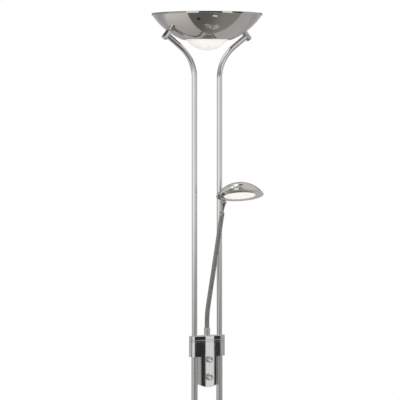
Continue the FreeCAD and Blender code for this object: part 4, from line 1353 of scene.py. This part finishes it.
@dataclass
class ReadingHead:
    """The domed head on its flared neck, with diffuser, reflector and capsule lamp."""

    arm: FlexibleArm
    neck_length: float = 35.5
    hinge_axis: Vector = field(default_factory=lambda: Vector((0.906, -0.4226, 0.0)).normalized())
    tilt_up: Vector = field(default_factory=lambda: Vector((0.059, 0.256, 0.957)).normalized())
    centre_from_seat: Vector = field(default_factory=lambda: Vector((25.0, -41.2, 10.1)))
    stem_length: float = 7.5
    radius: float = 60.0
    height: float = 34.0
    wall: float = 1.2
    band: float = 2.0
    lip: float = 0.4
    ring_radius: float = 58.75
    opening: float = 40.0
    glass_radius: float = 42.5
    glass_wall: float = 3.0

    def places(self) -> tuple[Vector, Vector, Vector, Vector, Matrix]:
        """End of the arm and its direction, the hinge, the seat on the ring, and the head's own place."""
        end, ahead = self.arm.at(self.arm.length)
        hinge = end + ahead * self.neck_length
        seat = hinge + self.tilt_up * self.stem_length
        centre = seat + self.centre_from_seat
        centre = centre - self.tilt_up * (centre - seat).dot(self.tilt_up)
        return end, ahead, hinge, seat, standing(centre, self.tilt_up)

    def neck(self) -> None:
        """Collar and flared neck, with the slot that the head's knuckle turns in."""
        end, ahead, hinge, _, _ = self.places()
        cup = self.neck_length
        outline = softened([(0, -7.5, 0), (4.35, -7.5, 0.3), (4.35, 0, 0), (5.7, 0, 0.2), (6.1, 0.6, 0.3),
            (6.1, 7.1, 0.8), (5.2, 8.5, 0.8), (3.6, 9.2, 0.8), (3.4, 12.0, 3.0), (3.45, 17.0, 8.0),
            (4.6, cup - 9.0, 8.0), (5.8, cup - 4.5, 3.0), (6.8, cup - 2.2, 1.2), (6.8, cup + 1.2, 0.3),
            (0, cup + 1.2, 0)], 8)
        neck = turned("head_neck_turned", outline, NECK_NICKEL, standing(end, ahead), Round.POLE)
        knuckle = turned("knuckle_way", [(0, -4.3), (4.5, -4.3), (4.5, 4.3), (0, 4.3)], CHROME,
            standing(hinge, self.hinge_axis), Round.BUSH)
        fitted(carved(neck, [knuckle]), "arm_tip", "head_neck")

    def stem(self) -> None:
        """The knuckle and short stem that carry the head."""
        piece = softened_copy("head_stem", "head_stem_knuckle", ZINC, 0.2)
        fitted(piece, "reading_head", "head_stem")

    def dome(self) -> None:
        """The polished dome with a softly rolled rim, and the ring inside it."""
        *_, place = self.places()
        r, w, rise = self.radius, self.wall, self.height - self.band
        sphere = (r * r + rise * rise) / (2 * rise)
        centre = self.height - sphere
        outside, inside = [], []
        for cap, edge, size in ((outside, r, sphere), (inside, r - w, sphere - w)):
            span = math.degrees(math.asin(edge / size))
            cap += [(abs(x), z) for x, z in arc((0, centre), size, 90 - span, 90, 44)]
        knee = softened([(r, -self.lip, 0), (r, outside[0][1], 0.9), outside[2] + (0,)], 4)[1:-1]
        rim = [(r - w, -self.lip + 0.25), (r - w + 0.25, -self.lip), (r - 0.3, -self.lip),
            (r, -self.lip + 0.3)]
        shell = turned("head_dome_spun", [*rim, *knee, *outside[2:], *reversed(inside)], HEAD_CHROME, place,
            224)
        fitted(shell, "reading_head", "head_shell")
        lip = softened([(self.ring_radius, 0, 0.2), (self.ring_radius, 1.2, 0.2), (self.opening, 1.2, 0.2),
            (self.opening, -0.7, 0.3), (self.opening + 1.2, -0.7, 0.4), (self.opening + 2.0, 0, 0.6)])
        fitted(turned("head_trim_ring", lip, CHROME, place, Round.DISC), "reading_head", "head_ring")

    def diffuser(self) -> None:
        """The opal diffuser, with fine rings pressed into its underside."""
        *_, place = self.places()
        low, high = 1.2, 1.2 + self.glass_wall
        under = [(r * 0.5, low + 0.12 * (0.5 - 0.5 * math.cos(2 * math.pi * r / 4))) for r in range(0, 77)]
        outline = [*under, (self.glass_radius - 1.2, low), (self.glass_radius, low + 0.4),
            (self.glass_radius, high - 0.4), (self.glass_radius - 0.6, high), (0.0, high)]
        fitted(turned("head_diffuser_pressed", outline, DIFFUSER_GLASS, place, Round.DISC, 60.0),
            "reading_head", "head_diffuser")

    def build(self) -> None:
        """Builds and dresses the reading head."""
        self.neck()
        self.stem()
        self.dome()
        self.diffuser()
        dressed("diffuser_clips", ZINC)
        dressed("head_reflector", ALLOY)
        dressed("head_lampholder", CERAMIC)
        dressed("head_lamp", CLEAR_GLASS)


HEAD_CHROME = Spun("chrome_on_spun_head", "chrome", (0.78, 0.77, 0.755), 0.03, 0.0014, 0.000005,
    (0.0603, -0.0692))


# ---------------------------------------------------------------- studio
@dataclass(frozen=True)
class Card:
    """A curved panel around the lamp that only reflections see.

    It spans from one azimuth to another (degrees, 0 in front), and between two heights. Its shade
    turns from the foot's to the top's between two heights of its own.
    """

    start: float
    end: float
    foot: float
    top: float
    low: float = 0.0
    high: float = 1.85
    turn_low: float = 0.55
    turn_high: float = 1.25
    warm: float = 0.0


@dataclass(frozen=True)
class Patch:
    """A flat shape, level with the floor or the ceiling, that only reflections see.

    Its shade turns along X from the first value to the second, between the two turning places.
    """

    shade: tuple[float, float]
    height: float
    corners: tuple[tuple[float, float], ...]
    warm: float = 0.0
    turn: tuple[float, float] = (-1.0, 1.0)


LOW, STEP, HIGH = 0.0005, 0.0001, 3.385
"""Heights of the lowest patch on the floor, of the next one above it, and of those at the ceiling."""


@dataclass
class Studio:
    """Camera, floor, world, soft lights and the cards that the chrome reflects."""

    azimuth: float = -25.0
    pitch: float = 2.36
    camera_height: float = 1.54
    distance: float = 5.13
    aim_left: float = 0.0178
    focal_pixels: float = 2024.0
    picture: float = 400.0
    sensor: float = 36.0
    card_radius: float = 3.2
    card_height: float = 3.4
    floor_radius: float = 4.4
    cards: tuple[Card, ...] = (
        Card(-112, -46, 0.55, 0.95),
        Card(-46, -9, 0.22, 0.85),
        Card(-9, -3.5, 0.85, 0.60),
        Card(-3.5, 18, 0.03, 0.42, turn_low=0.75),
        Card(18, 35.5, 0.80, 1.00, turn_low=0.75),
        Card(35.5, 50, 0.035, 0.20, turn_low=0.75),
        Card(50, 62, 0.42, 0.50),
        Card(62, 112, 0.42, 0.72),
        Card(112, 195, 0.40, 0.50),
        Card(195, 248, 0.40, 0.50, turn_low=0.7, turn_high=1.6),
        Card(-112, -68, 0.42, 0.42, 1.85, 2.15),
        Card(-42, 6, 0.03, 0.03, 1.85, 2.15),
        Card(27, 52, 0.03, 0.03, 1.85, 2.45),
        Card(52, 112, 0.45, 0.45, 1.85, 2.45),
        Card(112, 248, 0.26, 0.26, 1.85, 2.15),
        Card(112, 248, 0.22, 0.55, 2.15, 3.4, 2.4, 2.8),
        Card(-112, 18, 0.42, 0.42, 2.15, 3.4),
        Card(18, 112, 0.55, 0.55, 2.45, 3.4, warm=0.02),
    )
    patches: tuple[Patch, ...] = (
        Patch((0.78, 0.42), LOW, ((0.4, 3.1), (-3.1, 1.5), (-3.1, -1.07), (0.4, 0.7)), 0.04, (-2.2, 0.2)),
        Patch((0.14, 0.27), LOW + STEP, ((0.40, 0.70), (-3.1, -1.07), (-2.0, -2.4), (0.0, -3.1),
              (1.9, -2.5), (2.9, -1.64)), 0.05, (-0.3, 0.7)),
        Patch((0.19, 0.19), LOW + STEP, ((0.32, 0.75), (0.50, 0.75), (1.15, 1.45), (1.0, 2.0),
              (0.55, 1.9)), 0.03),
        Patch((0.95, 0.95), LOW + 2 * STEP, ((-0.05, -0.83), (0.20, -0.84), (0.18, -0.75), (-0.04, -0.74))),
        Patch((0.03, 0.03), LOW + 2 * STEP, ((-0.66, -0.30), (-0.55, -0.37), (-0.44, -0.28),
              (-0.50, -0.16), (-0.62, -0.18))),
        Patch((1.60, 1.60), HIGH, ((-0.25, 1.45), (0.35, 2.15), (0.90, 2.15), (0.40, 1.30), (0.0, 1.0))),
        Patch((0.12, 0.12), HIGH, ((0.95, 1.95), (1.10, 1.65), (0.90, 1.20), (0.55, 1.00), (0.55, 1.30))),
        Patch((0.05, 0.05), HIGH, ((-0.75, 1.45), (-0.45, 1.25), (-0.20, 0.70), (0.0, 0.38), (0.35, 0.13),
              (1.0, -0.10), (0.95, -0.30), (0.30, -0.38), (-0.35, -0.22), (-0.80, 0.40), (-0.90, 1.0))),
        Patch((0.02, 0.02), LOW + 2 * STEP, ((1.185, 2.168), (1.20, 2.152), (1.245, 2.140), (1.29, 2.134),
              (1.295, 2.150), (1.269, 2.168), (1.206, 2.183), (1.190, 2.182))),
        Patch((0.04, 0.04), HIGH, ((-1.15, 1.5), (-2.1, 1.5), (-2.3, -2.0), (-0.75, -2.3), (-1.05, -1.0))),
    )

    def camera(self) -> None:
        """The camera at the photograph's place."""
        a = math.radians(self.azimuth)
        ahead = Vector((-math.sin(a), math.cos(a), 0))
        beside = Vector((math.cos(a), math.sin(a), 0))
        data = bpy.data.cameras.new("camera")
        data.sensor_width = self.sensor
        data.lens = self.focal_pixels / self.picture * self.sensor
        data.clip_end = 100.0
        camera = shown("camera", data)
        camera.location = -ahead * self.distance - beside * self.aim_left + UP * self.camera_height
        dip = math.radians(self.pitch)
        look = ahead * math.cos(dip) - UP * math.sin(dip)
        camera.rotation_euler = look.to_track_quat("-Z", "Y").to_euler()
        bpy.context.scene.camera = camera

    def emitting(self, name: str, top: float, foot: float, warm: float, low: float, high: float,
            axis: str = "Z") -> Material:
        """A material whose glow turns from one level to another between two places along an axis."""
        made = bpy.data.materials.new(name)
        made.use_nodes = True
        tree = made.node_tree
        tree.nodes.clear()
        out = tree.nodes.new("ShaderNodeOutputMaterial")
        glow = tree.nodes.new("ShaderNodeEmission")
        glow.inputs["Color"].default_value = (1.0, 1.0 - warm, 1.0 - warm * 2.0, 1.0)
        place = tree.nodes.new("ShaderNodeTexCoord")
        split = tree.nodes.new("ShaderNodeSeparateXYZ")
        ramp = tree.nodes.new("ShaderNodeMapRange")
        ramp.interpolation_type = "SMOOTHSTEP"
        for key, value in zip(("From Min", "From Max", "To Min", "To Max"), (low, high, foot, top)):
            ramp.inputs[key].default_value = value
        tree.links.new(place.outputs["Object"], split.inputs[0])
        tree.links.new(split.outputs[axis], ramp.inputs["Value"])
        tree.links.new(ramp.outputs[0], glow.inputs["Strength"])
        tree.links.new(glow.outputs[0], out.inputs["Surface"])
        return made

    def only_reflected(self, piece: Object) -> None:
        """Hides a studio piece from all but reflections."""
        piece.visible_camera = False
        piece.visible_diffuse = False
        piece.visible_transmission = False
        piece.visible_shadow = False

    def panel(self, card: Card, number: int) -> None:
        """One curved card."""
        count = 12
        points = []
        for k in range(count + 1):
            a = math.radians(card.start + (card.end - card.start) * k / count)
            for z in (card.low, card.high):
                points.append((self.card_radius * math.sin(a), -self.card_radius * math.cos(a), z))
        faces = [(2 * k, 2 * k + 2, 2 * k + 3, 2 * k + 1) for k in range(count)]
        self.hung(f"card_{number}", points, faces, self.emitting(f"card_{number}", card.top, card.foot,
            card.warm, card.turn_low, card.turn_high))

    def patch(self, patch: Patch, number: int) -> None:
        """One flat reflected shape."""
        points = [(x, y, patch.height) for x, y in patch.corners]
        self.hung(f"patch_{number}", points, [tuple(range(len(points)))],
            self.emitting(f"patch_{number}", patch.shade[1], patch.shade[0], patch.warm, *patch.turn, "X"))

    def hung(self, name: str, points: Sequence[tuple[float, float, float]],
            faces: Sequence[tuple[int, ...]], glow: Material) -> None:
        """Hangs up a glowing mesh that only reflections see."""
        data = bpy.data.meshes.new(name)
        data.from_pydata(points, [], faces)
        data.materials.append(glow)
        self.only_reflected(shown(name, data))

    def disc(self, name: str, radius: float, z: float, material: Material) -> Object:
        """A flat disc around the lamp."""
        work = bmesh.new()
        bmesh.ops.create_circle(work, cap_ends=True, segments=Round.POLE, radius=radius)
        bmesh.ops.translate(work, verts=work.verts, vec=(0, 0, z))
        data = bpy.data.meshes.new(name)
        work.to_mesh(data)
        work.free()
        data.materials.append(material)
        return shown(name, data)

    def floor(self) -> None:
        """The pale floor, and the grey that the bowl reflects from it."""
        shader = Shader("pale_floor", (0.80, 0.80, 0.79), 0.6)
        cloud = shader.noise(0.8, 2.0)
        shader.colour(cloud, (0.79, 0.79, 0.78), (0.82, 0.82, 0.81))
        self.disc("floor", self.floor_radius, -0.0005, shader.material)
        for name, radius, z, shade, warm in (("floor_grey", self.card_radius, 0.0004, 0.47, 0.02),
                ("ceiling_grey", self.card_radius, self.card_height, 0.62, 0.03)):
            glow = self.emitting(name, shade, shade, warm, -1.0, 4.0)
            self.only_reflected(self.disc(name, radius, z, glow))

    def world(self) -> None:
        """White for the camera, reflections and glass; plain soft light for the rest."""
        world = bpy.data.worlds.new("studio")
        world.use_nodes = True
        tree = world.node_tree
        tree.nodes.clear()
        out = tree.nodes.new("ShaderNodeOutputWorld")
        mix = tree.nodes.new("ShaderNodeMixShader")
        seen = tree.nodes.new("ShaderNodeBackground")
        seen.inputs["Color"].default_value = (1, 1, 1, 1)
        soft = tree.nodes.new("ShaderNodeBackground")
        soft.inputs["Color"].default_value = (1.0, 0.995, 0.985, 1)
        soft.inputs["Strength"].default_value = 0.72
        path = tree.nodes.new("ShaderNodeLightPath")
        total: NodeSocket = path.outputs["Is Camera Ray"]
        for kind in ("Is Glossy Ray", "Is Transmission Ray"):
            either = tree.nodes.new("ShaderNodeMath")
            either.operation = "MAXIMUM"
            tree.links.new(total, either.inputs[0])
            tree.links.new(path.outputs[kind], either.inputs[1])
            total = either.outputs[0]
        tree.links.new(total, mix.inputs[0])
        tree.links.new(soft.outputs[0], mix.inputs[1])
        tree.links.new(seen.outputs[0], mix.inputs[2])
        tree.links.new(mix.outputs[0], out.inputs["Surface"])
        bpy.context.scene.world = world

    def softbox(self, name: str, place: Vector, aim: Vector, size: float, power: float) -> None:
        """A square soft light."""
        data = bpy.data.lights.new(name, "AREA")
        data.shape = "SQUARE"
        data.size = size
        data.energy = power
        data.color = (1.0, 0.98, 0.95)
        light = shown(name, data)
        light.location = place
        light.rotation_euler = (aim - place).to_track_quat("-Z", "Y").to_euler()
        light.visible_glossy = False

    def build(self) -> None:
        """Sets up the whole studio."""
        self.camera()
        self.floor()
        self.world()
        for number, card in enumerate(self.cards):
            self.panel(card, number)
        for number, patch in enumerate(self.patches):
            self.patch(patch, number)
        self.softbox("key_light", Vector((-2.4, -2.6, 3.2)), Vector((0, 0, 1.2)), 1.6, 34.0)
        self.softbox("fill_light", Vector((2.8, -1.2, 2.2)), Vector((0, 0, 1.2)), 1.6, 12.0)
        bpy.context.scene.view_settings.view_transform = "Standard"


def main() -> None:
    """Builds the lamp and its studio."""
    logging.basicConfig(level=logging.INFO, format="%(name)s: %(message)s")
    Base().build()
    bowl = Bowl()
    bowl.build()
    Poles(bowl).build()
    Housing().build()
    arm = FlexibleArm()
    arm.build()
    ReadingHead(arm).build()
    Studio().build()


if __name__ == "__main__":
    main()
